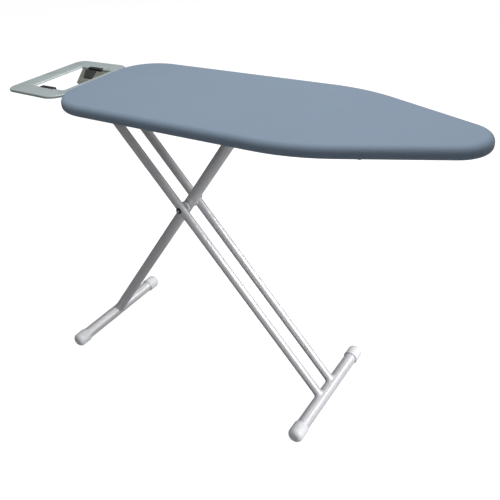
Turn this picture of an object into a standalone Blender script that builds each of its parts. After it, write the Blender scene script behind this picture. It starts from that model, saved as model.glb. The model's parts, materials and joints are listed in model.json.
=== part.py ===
"""Folding ironing board with scissor legs, T feet, a height rack and an iron rest.

Units are metres, +Z is up. The origin lies on the floor under the middle of the overall length.
+X runs from the tail, with its iron rest, to the nose. -Y is the near side, +Y the far side.
"""
import math

import bmesh
import bpy
from mathutils import Matrix, Vector

# Fits
CLEARANCE = 0.0003
RUNNING_GAP = 0.0003
SHOE_PLAY = 0.0025
SHOE_INNER_GAP = 0.0025
SHOE_OUTER_GAP = 0.0013
SIDE_GAP = 0.0015

# Board
BOARD_LENGTH = 1.099
BOARD_WIDTH = 0.403
TOP_HEIGHT = 0.8935
BOARD_DEPTH = 0.0296
TAIL_CORNER_LENGTH = 0.130
TAIL_CORNER_WIDTH = 0.110
TAPER_LENGTH = 0.450
SHOULDER_RADIUS = 0.468
NOSE_RADIUS = 0.078
EDGE_ROLL = 0.012
COVER_THICKNESS = 0.0012
HEM_INNER_ROLL = 0.0006
HEM_WIDTH = 0.026
FOAM_THICKNESS = 0.008
PANEL_THICKNESS = 0.0008
FRAME_WIDTH = 0.012
SHEET = 0.0012
RIB_WIDTH = 0.028

# Iron rest
REST_REACH = 0.210
REST_DROP = 0.0105
REST_TAIL_GAP = 0.0015
REST_OUTER_HALF = 0.150
REST_INNER_HALF = 0.154
REST_CORNER = 0.030
REST_RIM = 0.009
REST_LIP = 0.005
REST_SHEET = 0.0015
REST_FOLD = 0.002
REST_BAND = 0.055
REST_STRIP = 0.029
REST_OPENING_HALF = 0.095
REST_OPENING_CORNER = 0.012
REST_SLOT_LENGTH = 0.010
REST_SLOT_WIDTH = 0.005
REST_SLOT_INSET = 0.020
REST_ARM_INSET = 0.014
REST_ARM_WIDTH = 0.018
REST_ARM_THICKNESS = 0.0025
REST_ARM_LAP = 0.010
REST_PAD_LENGTH = 0.052
REST_PAD_START = 0.036
REST_PAD_THICKNESS = 0.002
REST_PAD_LAP = 0.006
GUSSET_THICKNESS = 0.0015
GUSSET_OVERLAP = 0.0077
GUSSET_SETBACK = 0.0385
GUSSET_PAST_MIDDLE = 0.007
GUSSET_PAST_ARM = 0.001
GUSSET_CORNER_LENGTH = 0.022
GUSSET_CORNER_WIDTH = 0.016
GUSSET_PAD_WIDTH = 0.044
GUSSET_PAD_THICKNESS = 0.003
GUSSET_PAD_INSET = 0.016
GUSSET_PAD_LEAN = 0.004

# Legs
HINGE_HEM_GAP = 0.0011
HINGE_DROP = 0.0139
TOP_SPREAD = 0.4695
LEG_A_ANGLE = math.radians(50.09)
LEG_B_ANGLE = math.radians(52.79)
FOLD_TRAVEL = math.radians(46.5)
TWIN_RADIUS = 0.0125
SINGLE_RADIUS = 0.016
TUBE_WALL = 0.0014
LEG_GAP = 0.0072
SLEEVE_STEP = 0.001
SLEEVE_OVERHANG = 0.004
HINGE_ROD_RADIUS = 0.004
HINGE_ROD_HEAD = 0.007
PIVOT_BOLT_RADIUS = 0.004
PIVOT_BOLT_HEAD = 0.0088
PIVOT_BOLT_HEAD_HEIGHT = 0.0055
PIVOT_BOLT_END = 0.012
PIVOT_NUT_RADIUS = 0.0075
PIVOT_NUT_HEIGHT = 0.007
PIVOT_SPACER_RADIUS = 0.0155
CROSS_ROD_RADIUS = 0.005
LEG_TOP_COVER = 0.009
PLUG_CAP = 0.0028

# Feet
FOOT_HALF_LENGTH = 0.2095
FOOT_RADIUS = 0.019
CAP_WALL = 0.0035
CAP_LENGTH = 0.048
CAP_END_WALL = 0.0085
CAP_DOME = 0.012
CAP_MOUTH_BEVEL = 0.002

# Brackets and rivets
EAR_THICKNESS = 0.002
EAR_FLANGE = 0.020
EAR_RIVET_INSET = 0.012
HINGE_EAR_LENGTH = 0.026
HINGE_EAR_BELOW = 0.013
RACK_EAR_LENGTH = 0.024
ROD_HEAD = 0.002
RIVET_RADIUS = 0.002
RIVET_HEAD = 0.004
RIVET_HEAD_HEIGHT = 0.0012
REST_RIVET_INSET = 0.007

# Height rack and release
RAIL_WIDTH = 0.0205
RAIL_TAIL_REACH = 0.094
RAIL_NOSE_REACH = 0.045
RAIL_RIVET_INSET = 0.008
SHOE_LENGTH = 0.040
SHOE_ROUNDING = 0.002
RACK_NOTCHES = 6
RACK_PITCH = 0.028
RACK_NOTCH_PLAY = 0.0008
RACK_BAR_THICKNESS = 0.003
RACK_BAR_HEIGHT = 0.010
RACK_BAR_GAP = 0.008
RACK_TAIL_REACH = 0.050
RACK_ROD_GAP = 0.0024
RACK_EAR_GAP = 0.0025
RACK_PIN_RADIUS = 0.003
RACK_PIN_HEAD = 0.0055
RACK_PIN_EYE = 0.007
RACK_EYE_GAP = 0.001
LEVER_WIDTH = 0.022
LEVER_THICKNESS = 0.002
LEVER_SETBACK = 0.0495
LEVER_DROP = 0.018
LEVER_LAP = 0.006
GRIP_LENGTH = 0.080
GRIP_WALL = 0.006
GRIP_ROUNDING = 0.004
GRIP_RAIL_GAP = 0.022
SPRING_WIRE = 0.001
SPRING_TURNS = 5

ARC_STEPS = 6
ROUND_SEGMENTS = 24

# Worked out from the sizes above
NOSE_X = (BOARD_LENGTH + REST_REACH) / 2
TAIL_X = NOSE_X - BOARD_LENGTH
HALF_WIDTH = BOARD_WIDTH / 2
FOAM_TOP = TOP_HEIGHT - COVER_THICKNESS - CLEARANCE
PANEL_TOP = FOAM_TOP - FOAM_THICKNESS - CLEARANCE
PANEL_BOTTOM = PANEL_TOP - PANEL_THICKNESS
FRAME_TOP = PANEL_BOTTOM - CLEARANCE
BOARD_BOTTOM = TOP_HEIGHT - BOARD_DEPTH
FRAME_BOTTOM = BOARD_BOTTOM + COVER_THICKNESS + CLEARANCE
FRAME_INSET = COVER_THICKNESS + 2 * CLEARANCE
RIB_TOP = FRAME_TOP - SHEET - CLEARANCE
RIB_BOTTOM = FRAME_BOTTOM + SHEET + CLEARANCE
UNDER_RIB = RIB_BOTTOM - CLEARANCE
HEM_ROLL = HEM_INNER_ROLL + COVER_THICKNESS

TWIN_Y = SINGLE_RADIUS + LEG_GAP + TWIN_RADIUS
TWIN_OUTER_Y = TWIN_Y + TWIN_RADIUS
SLEEVE_RADIUS = TWIN_RADIUS + SLEEVE_STEP
SLEEVE_HALF = TWIN_OUTER_Y + SLEEVE_OVERHANG
HINGE_EAR_Y = SLEEVE_HALF + SIDE_GAP

# The hinge stands just inside the hem, which curves in towards the tail's corners
TAIL_CORNER_Y = HALF_WIDTH - TAIL_CORNER_WIDTH
HINGE_CORNER_SHARE = max(0, HINGE_EAR_Y + EAR_FLANGE - TAIL_CORNER_Y) / (TAIL_CORNER_WIDTH - HEM_WIDTH)
HEM_FROM_TAIL = TAIL_CORNER_LENGTH - (TAIL_CORNER_LENGTH - HEM_WIDTH) * math.sqrt(1 - HINGE_CORNER_SHARE**2)
HINGE_FROM_TAIL = HEM_FROM_TAIL + HINGE_HEM_GAP + HINGE_EAR_LENGTH / 2

CAP_RADIUS = FOOT_RADIUS + CAP_WALL
HINGE = Vector((TAIL_X + HINGE_FROM_TAIL, 0, BOARD_BOTTOM - HINGE_DROP))
CROSS_ROD = Vector((HINGE.x + TOP_SPREAD, 0, HINGE.z))
UPPER_A = TOP_SPREAD * math.sin(LEG_B_ANGLE) / math.sin(LEG_A_ANGLE + LEG_B_ANGLE)
UPPER_B = TOP_SPREAD * math.sin(LEG_A_ANGLE) / math.sin(LEG_A_ANGLE + LEG_B_ANGLE)
DOWN_A = Vector((math.cos(LEG_A_ANGLE), 0, -math.sin(LEG_A_ANGLE)))
DOWN_B = Vector((-math.cos(LEG_B_ANGLE), 0, -math.sin(LEG_B_ANGLE)))
PIVOT = HINGE + DOWN_A * UPPER_A
LEG_DROP = HINGE.z - CAP_RADIUS
FOOT_A = HINGE + DOWN_A * (LEG_DROP / math.sin(LEG_A_ANGLE))
FOOT_B = CROSS_ROD + DOWN_B * (LEG_DROP / math.sin(LEG_B_ANGLE))
LEG_TOP_OVERRUN = CROSS_ROD_RADIUS + LEG_TOP_COVER
FOLD_RATIO = LEG_B_ANGLE / LEG_A_ANGLE
FOLDED_ROD_X = (
    HINGE.x
    + UPPER_A * math.cos(LEG_A_ANGLE - FOLD_TRAVEL)
    + UPPER_B * math.cos(LEG_B_ANGLE - FOLD_TRAVEL * FOLD_RATIO)
)

RAIL_INNER_Y = TWIN_OUTER_Y + CLEARANCE + PIVOT_BOLT_END + SIDE_GAP
RAIL_OUTER_Y = RAIL_INNER_Y + RAIL_WIDTH
RAIL_HALF_HEIGHT = UNDER_RIB - CROSS_ROD.z
SHOE_INNER_Y = RAIL_INNER_Y + SHOE_INNER_GAP
SHOE_WIDTH = RAIL_WIDTH - SHEET - SHOE_INNER_GAP - SHOE_OUTER_GAP
MID_RIB_X = CROSS_ROD.x - RAIL_TAIL_REACH
NOSE_RIB_X = FOLDED_ROD_X + RAIL_NOSE_REACH
RACK_BAR_Y = SINGLE_RADIUS + RACK_BAR_GAP
RACK_EAR_Y = RACK_BAR_Y + RACK_BAR_THICKNESS + RACK_EAR_GAP
RACK_NOTCH_RADIUS = CROSS_ROD_RADIUS + RACK_NOTCH_PLAY
RACK_TIP_Z = CROSS_ROD.z + CROSS_ROD_RADIUS + RACK_ROD_GAP
RACK_TOP_Z = RACK_TIP_Z + RACK_BAR_HEIGHT
RACK_PIN = Vector((NOSE_RIB_X, 0, UNDER_RIB - RACK_PIN_EYE - RACK_EYE_GAP))
RACK_TAIL_X = CROSS_ROD.x - RACK_TAIL_REACH
LEVER_X = RACK_TAIL_X + RACK_EYE_GAP + LEVER_WIDTH / 2
LEVER_REACH = HALF_WIDTH - LEVER_SETBACK
REST_TOP = TOP_HEIGHT - REST_DROP
REST_OUT_X = TAIL_X - REST_REACH
REST_IN_X = TAIL_X - REST_TAIL_GAP
REST_ARM_Y = REST_OPENING_HALF + REST_ARM_INSET
REST_ARM_TOP = REST_TOP - REST_SHEET - CLEARANCE
GUSSET_TOP = min(REST_TOP - REST_LIP, REST_ARM_TOP - REST_ARM_THICKNESS) - CLEARANCE


# ---------------------------------------------------------------- modelling helpers
def clear_scene():
    for item in list(bpy.data.objects):
        bpy.data.objects.remove(item, do_unlink=True)


def material(name, colour, roughness, metallic):
    made = bpy.data.materials.new(name)
    made.use_nodes = True
    shader = made.node_tree.nodes["Principled BSDF"]
    shader.inputs["Base Color"].default_value = (*colour, 1.0)
    shader.inputs["Roughness"].default_value = roughness
    shader.inputs["Metallic"].default_value = metallic
    made.diffuse_color = (*colour, 1.0)
    return made


def solid_object(name, bm, finish):
    """Close a bmesh into an object whose faces all point out."""
    bmesh.ops.remove_doubles(bm, verts=bm.verts, dist=1e-6)
    bmesh.ops.recalc_face_normals(bm, faces=bm.faces)
    mesh = bpy.data.meshes.new(name)
    bm.to_mesh(mesh)
    bm.free()
    mesh.shade_smooth()
    mesh.set_sharp_from_angle(angle=math.radians(35))
    made = bpy.data.objects.new(name, mesh)
    made.data.materials.append(finish)
    bpy.context.collection.objects.link(made)
    return made


def prism(name, outline, axis, low, high, finish):
    """Extrude a flat outline along an axis: X takes (y, z), Y takes (x, z), Z takes (x, y)."""
    bm = bmesh.new()
    corners = []
    for u, v in outline:
        place = {"X": (low, u, v), "Y": (u, low, v), "Z": (u, v, low)}[axis]
        corners.append(bm.verts.new(place))
    face = bm.faces.new(corners)
    grown = bmesh.ops.extrude_face_region(bm, geom=[face])
    moved = [item for item in grown["geom"] if isinstance(item, bmesh.types.BMVert)]
    shift = Vector([high - low if letter == axis else 0 for letter in "XYZ"])
    bmesh.ops.translate(bm, verts=moved, vec=shift)
    return solid_object(name, bm, finish)


def box(name, low, high, finish):
    outline = [(low[0], low[1]), (high[0], low[1]), (high[0], high[1]), (low[0], high[1])]
    return prism(name, outline, "Z", low[2], high[2], finish)


def turned(name, profile, start, direction, finish, segments=ROUND_SEGMENTS):
    """Spin (radius, distance) points round a line; a profile that touches the line may stay open."""
    bm = bmesh.new()
    points = [bm.verts.new((radius, 0, distance)) for radius, distance in profile]
    edges = [bm.edges.new(pair) for pair in zip(points, points[1:])]
    if min(profile[0][0], profile[-1][0]) > 0:
        edges.append(bm.edges.new((points[-1], points[0])))
    bmesh.ops.spin(
        bm,
        geom=points + edges,
        cent=(0, 0, 0),
        axis=(0, 0, 1),
        angle=2 * math.pi,
        steps=segments,
        use_merge=True,
    )
    turn = direction.to_track_quat("Z", "Y").to_matrix().to_4x4()
    bmesh.ops.transform(bm, matrix=Matrix.Translation(start) @ turn, verts=bm.verts)
    return solid_object(name, bm, finish)


def pipe(name, start, end, radius, wall, finish):
    """An open-ended round tube between two points."""
    length = (end - start).length
    inner = radius - wall
    profile = [(radius, 0), (radius, length), (inner, length), (inner, 0)]
    return turned(name, profile, start, (end - start).normalized(), finish)


def rod(name, start, end, radius, finish, segments=16):
    length = (end - start).length
    profile = [(0, 0), (radius, 0), (radius, length), (0, length)]
    return turned(name, profile, start, (end - start).normalized(), finish, segments)


def headed_rod(name, half, radius, head_radius, centre, finish):
    """A rod across the board with a flat head formed on each end."""
    end = half + ROD_HEAD
    profile = [
        (0, -end),
        (head_radius, -end),
        (head_radius, -half),
        (radius, -half),
        (radius, half),
        (head_radius, half),
        (head_radius, end),
        (0, end),
    ]
    return turned(name, profile, centre, Vector((0, 1, 0)), finish, 16)


def loft(name, loops, finish, capped):
    """Join matching loops of points with faces; uncapped loops close on themselves as a ring."""
    bm = bmesh.new()
    rows = [[bm.verts.new(point) for point in loop] for loop in loops]
    pairs = list(zip(rows, rows[1:]))
    if capped:
        bm.faces.new(rows[0])
        bm.faces.new(rows[-1])
    else:
        pairs.append((rows[-1], rows[0]))
    for lower, upper in pairs:
        count = len(lower)
        for index in range(count):
            after = (index + 1) % count
            bm.faces.new((lower[index], lower[after], upper[after], upper[index]))
    return solid_object(name, bm, finish)


def cut(piece, cutter):
    """Take a hidden cutter away from a piece."""
    cutter.hide_render = True
    cutter.display_type = "WIRE"
    modifier = piece.modifiers.new(cutter.name, "BOOLEAN")
    modifier.operation = "DIFFERENCE"
    modifier.solver = "EXACT"
    modifier.object = cutter


def cross_hole(piece, centre, radius, half, segments=ROUND_SEGMENTS):
    """Cut a round hole or saddle that runs across the board, along Y."""
    side = Vector((0, half, 0))
    name = f"cut_{piece.name}_{len(piece.modifiers)}"
    cut(piece, rod(name, centre - side, centre + side, radius, None, segments))


def upright_hole(piece, x, y, radius, low, high):
    name = f"cut_{piece.name}_{len(piece.modifiers)}"
    cut(piece, rod(name, Vector((x, y, low)), Vector((x, y, high)), radius, None, 12))


def arc(centre_x, centre_y, radius_x, radius_y, first, last, steps=ARC_STEPS):
    """Points along an ellipse's arc, angles in radians, both ends included."""
    points = []
    for index in range(steps + 1):
        angle = first + (last - first) * index / steps
        points.append((centre_x + radius_x * math.cos(angle), centre_y + radius_y * math.sin(angle)))
    return points


def strap_outline(centre_line, thickness):
    """The outline of a bent flat bar from the line along its middle."""
    sides = ([], [])
    for index, point in enumerate(centre_line):
        here = Vector(point)
        before = here - Vector(centre_line[index - 1]) if index else None
        after = Vector(centre_line[index + 1]) - here if index + 1 < len(centre_line) else None
        along = ((before or after).normalized() + (after or before).normalized()).normalized()
        normal = Vector((-along.y, along.x))
        square = Vector((-(after or before).y, (after or before).x)).normalized()
        reach = thickness / 2 / normal.dot(square)
        sides[0].append(tuple(here + normal * reach))
        sides[1].append(tuple(here - normal * reach))
    return sides[0] + sides[1][::-1]


def mirrored(outline):
    """The same outline on the other side of the board, for (y, z) points."""
    return [(-y, z) for y, z in outline]


# ---------------------------------------------------------------- board outline
def taper_normal():
    """Angle of the taper's outward normal: the line that touches both the shoulder and the nose arc."""
    shoulder = Vector((NOSE_X - TAPER_LENGTH, HALF_WIDTH - SHOULDER_RADIUS))
    nose = Vector((NOSE_X - NOSE_RADIUS, 0))
    between = nose - shoulder
    lean = math.acos((SHOULDER_RADIUS - NOSE_RADIUS) / between.length)
    return math.atan2(between.y, between.x) + lean


def board_half(inset):
    """The far half of the outline from tail to nose, drawn in by inset."""
    corner_x = TAIL_X + TAIL_CORNER_LENGTH
    corner_y = HALF_WIDTH - TAIL_CORNER_WIDTH
    normal = taper_normal()
    tail = arc(
        corner_x,
        corner_y,
        TAIL_CORNER_LENGTH - inset,
        TAIL_CORNER_WIDTH - inset,
        math.pi,
        math.pi / 2,
        10,
    )
    shoulder_radius = SHOULDER_RADIUS - inset
    shoulder = arc(
        NOSE_X - TAPER_LENGTH,
        HALF_WIDTH - SHOULDER_RADIUS,
        shoulder_radius,
        shoulder_radius,
        math.pi / 2,
        normal,
    )
    nose_radius = NOSE_RADIUS - inset
    nose = arc(NOSE_X - NOSE_RADIUS, 0, nose_radius, nose_radius, normal, 0, 8)
    return tail + shoulder + nose


def board_outline(inset, z):
    far = board_half(inset)
    near = [(x, -y) for x, y in far[:-1]]
    return [Vector((x, y, z)) for x, y in near + far[::-1]]


def half_width_at(x, inset):
    """Half the width at a station inside the outline, drawn in by inset."""
    points = board_half(inset)
    for (x0, y0), (x1, y1) in zip(points, points[1:]):
        if x0 <= x <= x1 and x1 > x0:
            return y0 + (y1 - y0) * (x - x0) / (x1 - x0)
    raise ValueError("the station is off the board")


def rolled_edge(inset):
    """(inset, z) points of the rolled upper edge, from the flat top out to the side."""
    radius = EDGE_ROLL - inset
    centre_z = TOP_HEIGHT - EDGE_ROLL
    return arc(EDGE_ROLL, centre_z, radius, radius, math.pi / 2, math.pi, 5)


# ---------------------------------------------------------------- board pieces
def make_cover(finish):
    """A sheet over the top, round the edge and under it as a hem, all of one thickness."""
    turn_z = BOARD_BOTTOM + HEM_ROLL
    outside = rolled_edge(0)
    outside += arc(HEM_ROLL, turn_z, HEM_ROLL, HEM_ROLL, math.pi, 1.5 * math.pi, 3)
    outside.append((HEM_WIDTH, BOARD_BOTTOM))
    inner_roll = HEM_ROLL - COVER_THICKNESS
    inside = rolled_edge(COVER_THICKNESS)
    inside += arc(HEM_ROLL, turn_z, inner_roll, inner_roll, math.pi, 1.5 * math.pi, 3)
    inside.append((HEM_WIDTH, BOARD_BOTTOM + COVER_THICKNESS))
    section = outside + inside[::-1]
    loops = [board_outline(inset, z) for inset, z in section]
    return loft("cover", loops, finish, capped=True)


def make_foam_pad(finish):
    inset = COVER_THICKNESS + CLEARANCE
    bottom = PANEL_TOP + CLEARANCE
    section = [point for point in rolled_edge(inset) if point[1] > bottom]
    section.append((section[-1][0], bottom))
    loops = [board_outline(edge, z) for edge, z in section]
    return loft("foam_pad", loops, finish, capped=True)


def make_top_panel(finish):
    loops = [board_outline(FRAME_INSET + CLEARANCE, z) for z in (PANEL_TOP, PANEL_BOTTOM)]
    return loft("top_panel", loops, finish, capped=True)


def make_edge_frame(finish):
    """A rolled channel round the edge, open towards the middle."""
    outer = FRAME_INSET
    inner = FRAME_INSET + FRAME_WIDTH
    web = outer + SHEET
    section = [
        (outer, FRAME_TOP),
        (outer, FRAME_BOTTOM),
        (inner, FRAME_BOTTOM),
        (inner, FRAME_BOTTOM + SHEET),
        (web, FRAME_BOTTOM + SHEET),
        (web, FRAME_TOP - SHEET),
        (inner, FRAME_TOP - SHEET),
        (inner, FRAME_TOP),
    ]
    loops = [board_outline(inset, z) for inset, z in section]
    return loft("edge_frame", loops, finish, capped=False)


def make_rib(name, x, finish):
    """A channel across the board, open upward, whose ends sit in the edge frame."""
    left = x - RIB_WIDTH / 2
    right = x + RIB_WIDTH / 2
    inner = FRAME_INSET + SHEET
    reach = min(half_width_at(left, inner), half_width_at(right, inner)) - SIDE_GAP
    section = [
        (left, RIB_BOTTOM),
        (right, RIB_BOTTOM),
        (right, RIB_TOP),
        (right - SHEET, RIB_TOP),
        (right - SHEET, RIB_BOTTOM + SHEET),
        (left + SHEET, RIB_BOTTOM + SHEET),
        (left + SHEET, RIB_TOP),
        (left, RIB_TOP),
    ]
    return prism(name, section, "Y", -reach, reach, finish)


def make_rivet(name, x, y, part_thickness, rib, part, finish):
    """A rivet up through a part and the rib above it, with its two holes."""
    bottom = UNDER_RIB - part_thickness - CLEARANCE
    top = RIB_BOTTOM + SHEET + CLEARANCE
    head = RIVET_HEAD_HEIGHT
    hole = RIVET_RADIUS + RUNNING_GAP
    between = UNDER_RIB + CLEARANCE / 3
    upright_hole(part, x, y, hole, bottom - head, between)
    upright_hole(rib, x, y, hole, between, top + head)
    profile = [
        (0, -head),
        (RIVET_HEAD * 0.6, -head),
        (RIVET_HEAD, 0),
        (RIVET_RADIUS, 0),
        (RIVET_RADIUS, top - bottom),
        (RIVET_HEAD * 0.8, top - bottom),
        (RIVET_HEAD * 0.8, top - bottom + head),
        (0, top - bottom + head),
    ]
    return turned(name, profile, Vector((x, y, bottom)), Vector((0, 0, 1)), finish, 12)


def make_guide_rail(name, side, finish):
    """A channel along the board, open towards the middle, that guides one slide shoe."""
    low = CROSS_ROD.z - RAIL_HALF_HEIGHT
    section = [
        (RAIL_INNER_Y, UNDER_RIB),
        (RAIL_OUTER_Y, UNDER_RIB),
        (RAIL_OUTER_Y, low),
        (RAIL_INNER_Y, low),
        (RAIL_INNER_Y, low + SHEET),
        (RAIL_OUTER_Y - SHEET, low + SHEET),
        (RAIL_OUTER_Y - SHEET, UNDER_RIB - SHEET),
        (RAIL_INNER_Y, UNDER_RIB - SHEET),
    ]
    if side < 0:
        section = mirrored(section)
    start = MID_RIB_X - RIB_WIDTH / 2
    end = NOSE_RIB_X + RIB_WIDTH / 2
    return prism(name, section, "X", start, end, finish)


def make_ear(name, side, inner_y, depth, centre, length, hole, finish):
    """An angle bracket under a rib: a hanging ear with a rod hole, and a flange turned outward."""
    outer_y = inner_y + EAR_THICKNESS
    section = [
        (inner_y, UNDER_RIB),
        (inner_y, depth),
        (outer_y, depth),
        (outer_y, UNDER_RIB - EAR_THICKNESS),
        (inner_y + EAR_FLANGE, UNDER_RIB - EAR_THICKNESS),
        (inner_y + EAR_FLANGE, UNDER_RIB),
    ]
    if side < 0:
        section = mirrored(section)
    start = centre.x - length / 2
    piece = prism(name, section, "X", start, start + length, finish)
    middle = Vector((centre.x, side * (inner_y + outer_y) / 2, centre.z))
    cross_hole(piece, middle, hole, 2 * EAR_THICKNESS, 16)
    return piece


# ---------------------------------------------------------------- iron rest
def rest_loop(x_out, x_in, half_out, half_in, corner, z):
    """A rounded trapezium, from the outer end round to the board end and back."""
    far = arc(x_out + corner, half_out - corner, corner, corner, math.pi, math.pi / 2)
    far += arc(x_in - corner, half_in - corner, corner, corner, math.pi / 2, 0)
    near = [(x, -y) for x, y in far]
    return [Vector((x, y, z)) for x, y in near + far[::-1]]


def rest_outline(inset, z):
    return rest_loop(
        REST_OUT_X + inset,
        REST_IN_X - inset,
        REST_OUTER_HALF - inset,
        REST_INNER_HALF - inset,
        REST_CORNER - inset,
        z,
    )


def rest_opening(outset, z):
    return rest_loop(
        REST_OUT_X + REST_BAND - outset,
        REST_IN_X - REST_STRIP + outset,
        REST_OPENING_HALF + outset,
        REST_OPENING_HALF + outset,
        REST_OPENING_CORNER + outset,
        z,
    )


def make_iron_rest(finish):
    """A pressed sheet ring with a deep rim turned down outside and a short lip inside."""
    under = REST_TOP - REST_SHEET
    fold = REST_FOLD
    corner = REST_FOLD * 0.3
    inner_fold = REST_FOLD / 2
    loops = [
        rest_outline(0, REST_TOP - REST_RIM),
        rest_outline(0, REST_TOP - fold),
        rest_outline(corner, REST_TOP - corner),
        rest_outline(fold, REST_TOP),
        rest_opening(fold, REST_TOP),
        rest_opening(0, REST_TOP - fold),
        rest_opening(0, REST_TOP - REST_LIP),
        rest_opening(REST_SHEET, REST_TOP - REST_LIP),
        rest_opening(REST_SHEET, under - inner_fold),
        rest_opening(REST_SHEET + inner_fold, under),
        rest_outline(REST_SHEET + inner_fold, under),
        rest_outline(REST_SHEET, under - inner_fold),
        rest_outline(REST_SHEET, REST_TOP - REST_RIM),
    ]
    piece = loft("iron_rest", loops, finish, capped=False)
    slot_x = REST_IN_X - REST_STRIP - REST_SLOT_INSET
    slot_y = REST_OPENING_HALF + 2 * REST_SHEET
    slot_low = (slot_x - REST_SLOT_WIDTH / 2, slot_y, under - REST_SHEET)
    slot_high = (slot_x + REST_SLOT_WIDTH / 2, slot_y + REST_SLOT_LENGTH, REST_TOP + REST_SHEET)
    cut(piece, box("cut_rest_slot", slot_low, slot_high, None))
    return piece


def make_rest_arm(name, side, finish):
    """A bent flat bar from under the rest's band, below the hem, up to the tail rib."""
    half = REST_ARM_THICKNESS / 2
    high = REST_ARM_TOP - half
    under_hem = BOARD_BOTTOM - CLEARANCE - half
    under_rib = UNDER_RIB - half
    down_x = REST_IN_X - 2 * REST_SHEET - SIDE_GAP
    up_x = HINGE.x - SIDE_GAP
    line = [
        (REST_OUT_X + REST_BAND + REST_ARM_LAP, high),
        (down_x, high),
        (down_x, under_hem),
        (up_x, under_hem),
        (up_x, under_rib),
        (HINGE.x + RIB_WIDTH / 2, under_rib),
    ]
    middle = side * REST_ARM_Y
    low = middle - REST_ARM_WIDTH / 2
    outline = strap_outline(line, REST_ARM_THICKNESS)
    return prism(name, outline, "Y", low, low + REST_ARM_WIDTH, finish)


def make_rest_pad(name, side, finish):
    """A soft strip clipped round the lip of one arm of the rest."""
    edge = REST_OPENING_HALF
    top = REST_TOP + REST_PAD_THICKNESS
    bevel = REST_PAD_THICKNESS / 2
    skirt = edge - REST_PAD_LAP - bevel
    section = [
        (edge + REST_PAD_LAP, REST_TOP + CLEARANCE),
        (edge + REST_PAD_LAP, top),
        (skirt + bevel, top),
        (skirt, top - bevel),
        (skirt, REST_TOP - REST_LIP),
        (edge - CLEARANCE, REST_TOP - REST_LIP),
        (edge - CLEARANCE, REST_TOP + CLEARANCE),
    ]
    if side < 0:
        section = mirrored(section)
    start = REST_OUT_X + REST_BAND + REST_PAD_START
    return prism(name, section, "X", start, start + REST_PAD_LENGTH, finish)


def gusset_corners(z):
    """The gusset's corner where its free edge ends, and the foot of that edge near the board."""
    high = Vector((REST_OUT_X + REST_BAND - GUSSET_OVERLAP, REST_ARM_Y + GUSSET_PAST_ARM, z))
    low = Vector((REST_IN_X - REST_STRIP - GUSSET_SETBACK, -GUSSET_PAST_MIDDLE, z))
    return high, low


def make_rest_gusset(finish):
    """A stiffening plate under the far corner of the rest, with a slanting free edge."""
    high, low = gusset_corners(GUSSET_TOP)
    inner_x = REST_IN_X - 2 * REST_SHEET - SIDE_GAP - 2 * REST_ARM_THICKNESS
    outline = [
        (high.x, high.y),
        (low.x, low.y),
        (low.x + GUSSET_CORNER_LENGTH * 0.36, low.y - GUSSET_CORNER_WIDTH * 0.62),
        (low.x + GUSSET_CORNER_LENGTH, low.y - GUSSET_CORNER_WIDTH),
        (inner_x, low.y - GUSSET_CORNER_WIDTH),
        (inner_x, high.y),
    ]
    return prism("rest_gusset", outline, "Z", GUSSET_TOP - GUSSET_THICKNESS, GUSSET_TOP, finish)


def make_gusset_pad(finish):
    """A dark pad on the gusset, slanting as its free edge does."""
    bottom = GUSSET_TOP + CLEARANCE
    high, low = gusset_corners(bottom)
    first = high.lerp(low, 0.23) + Vector((GUSSET_PAD_INSET, 0, 0))
    last = high.lerp(low, 0.75) + Vector((GUSSET_PAD_INSET + GUSSET_PAD_LEAN, 0, 0))
    outline = [
        (first.x, first.y),
        (last.x, last.y),
        (last.x + GUSSET_PAD_WIDTH * 0.75, last.y),
        (first.x + GUSSET_PAD_WIDTH, first.y),
    ]
    return prism("gusset_pad", outline, "Z", bottom, bottom + GUSSET_PAD_THICKNESS, finish)


# ---------------------------------------------------------------- legs
def make_twin_tube(name, side, finish):
    across = Vector((0, side * TWIN_Y, 0))
    tube = pipe(name, HINGE + across, FOOT_A + across, TWIN_RADIUS, TUBE_WALL, finish)
    reach = 2 * TWIN_RADIUS
    cross_hole(tube, HINGE + across, SLEEVE_RADIUS + CLEARANCE, reach, 32)
    cross_hole(tube, FOOT_A + across, FOOT_RADIUS + CLEARANCE, reach, 32)
    cross_hole(tube, PIVOT + across, PIVOT_BOLT_RADIUS + RUNNING_GAP, reach, 16)
    return tube


def make_single_tube(finish):
    start = CROSS_ROD - DOWN_B * LEG_TOP_OVERRUN
    tube = pipe("single_leg_tube", start, FOOT_B, SINGLE_RADIUS, TUBE_WALL, finish)
    reach = 2 * SINGLE_RADIUS
    cross_hole(tube, FOOT_B, FOOT_RADIUS + CLEARANCE, reach, 32)
    cross_hole(tube, CROSS_ROD, CROSS_ROD_RADIUS + CLEARANCE, reach, 16)
    cross_hole(tube, PIVOT, PIVOT_BOLT_RADIUS + RUNNING_GAP, reach, 16)
    return tube


def make_leg_plug(finish):
    """A plug that closes the single tube above the cross rod."""
    bore = SINGLE_RADIUS - TUBE_WALL - CLEARANCE
    depth = LEG_TOP_COVER - SIDE_GAP
    profile = [
        (0, -depth),
        (bore, -depth),
        (bore, CLEARANCE),
        (SINGLE_RADIUS, CLEARANCE),
        (SINGLE_RADIUS * 0.94, PLUG_CAP * 0.7),
        (0, PLUG_CAP),
    ]
    return turned("single_leg_plug", profile, CROSS_ROD - DOWN_B * LEG_TOP_OVERRUN, -DOWN_B, finish)


def make_foot_bar(name, centre, finish):
    half = Vector((0, FOOT_HALF_LENGTH - CAP_END_WALL - CLEARANCE, 0))
    return pipe(name, centre - half, centre + half, FOOT_RADIUS, TUBE_WALL, finish)


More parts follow.
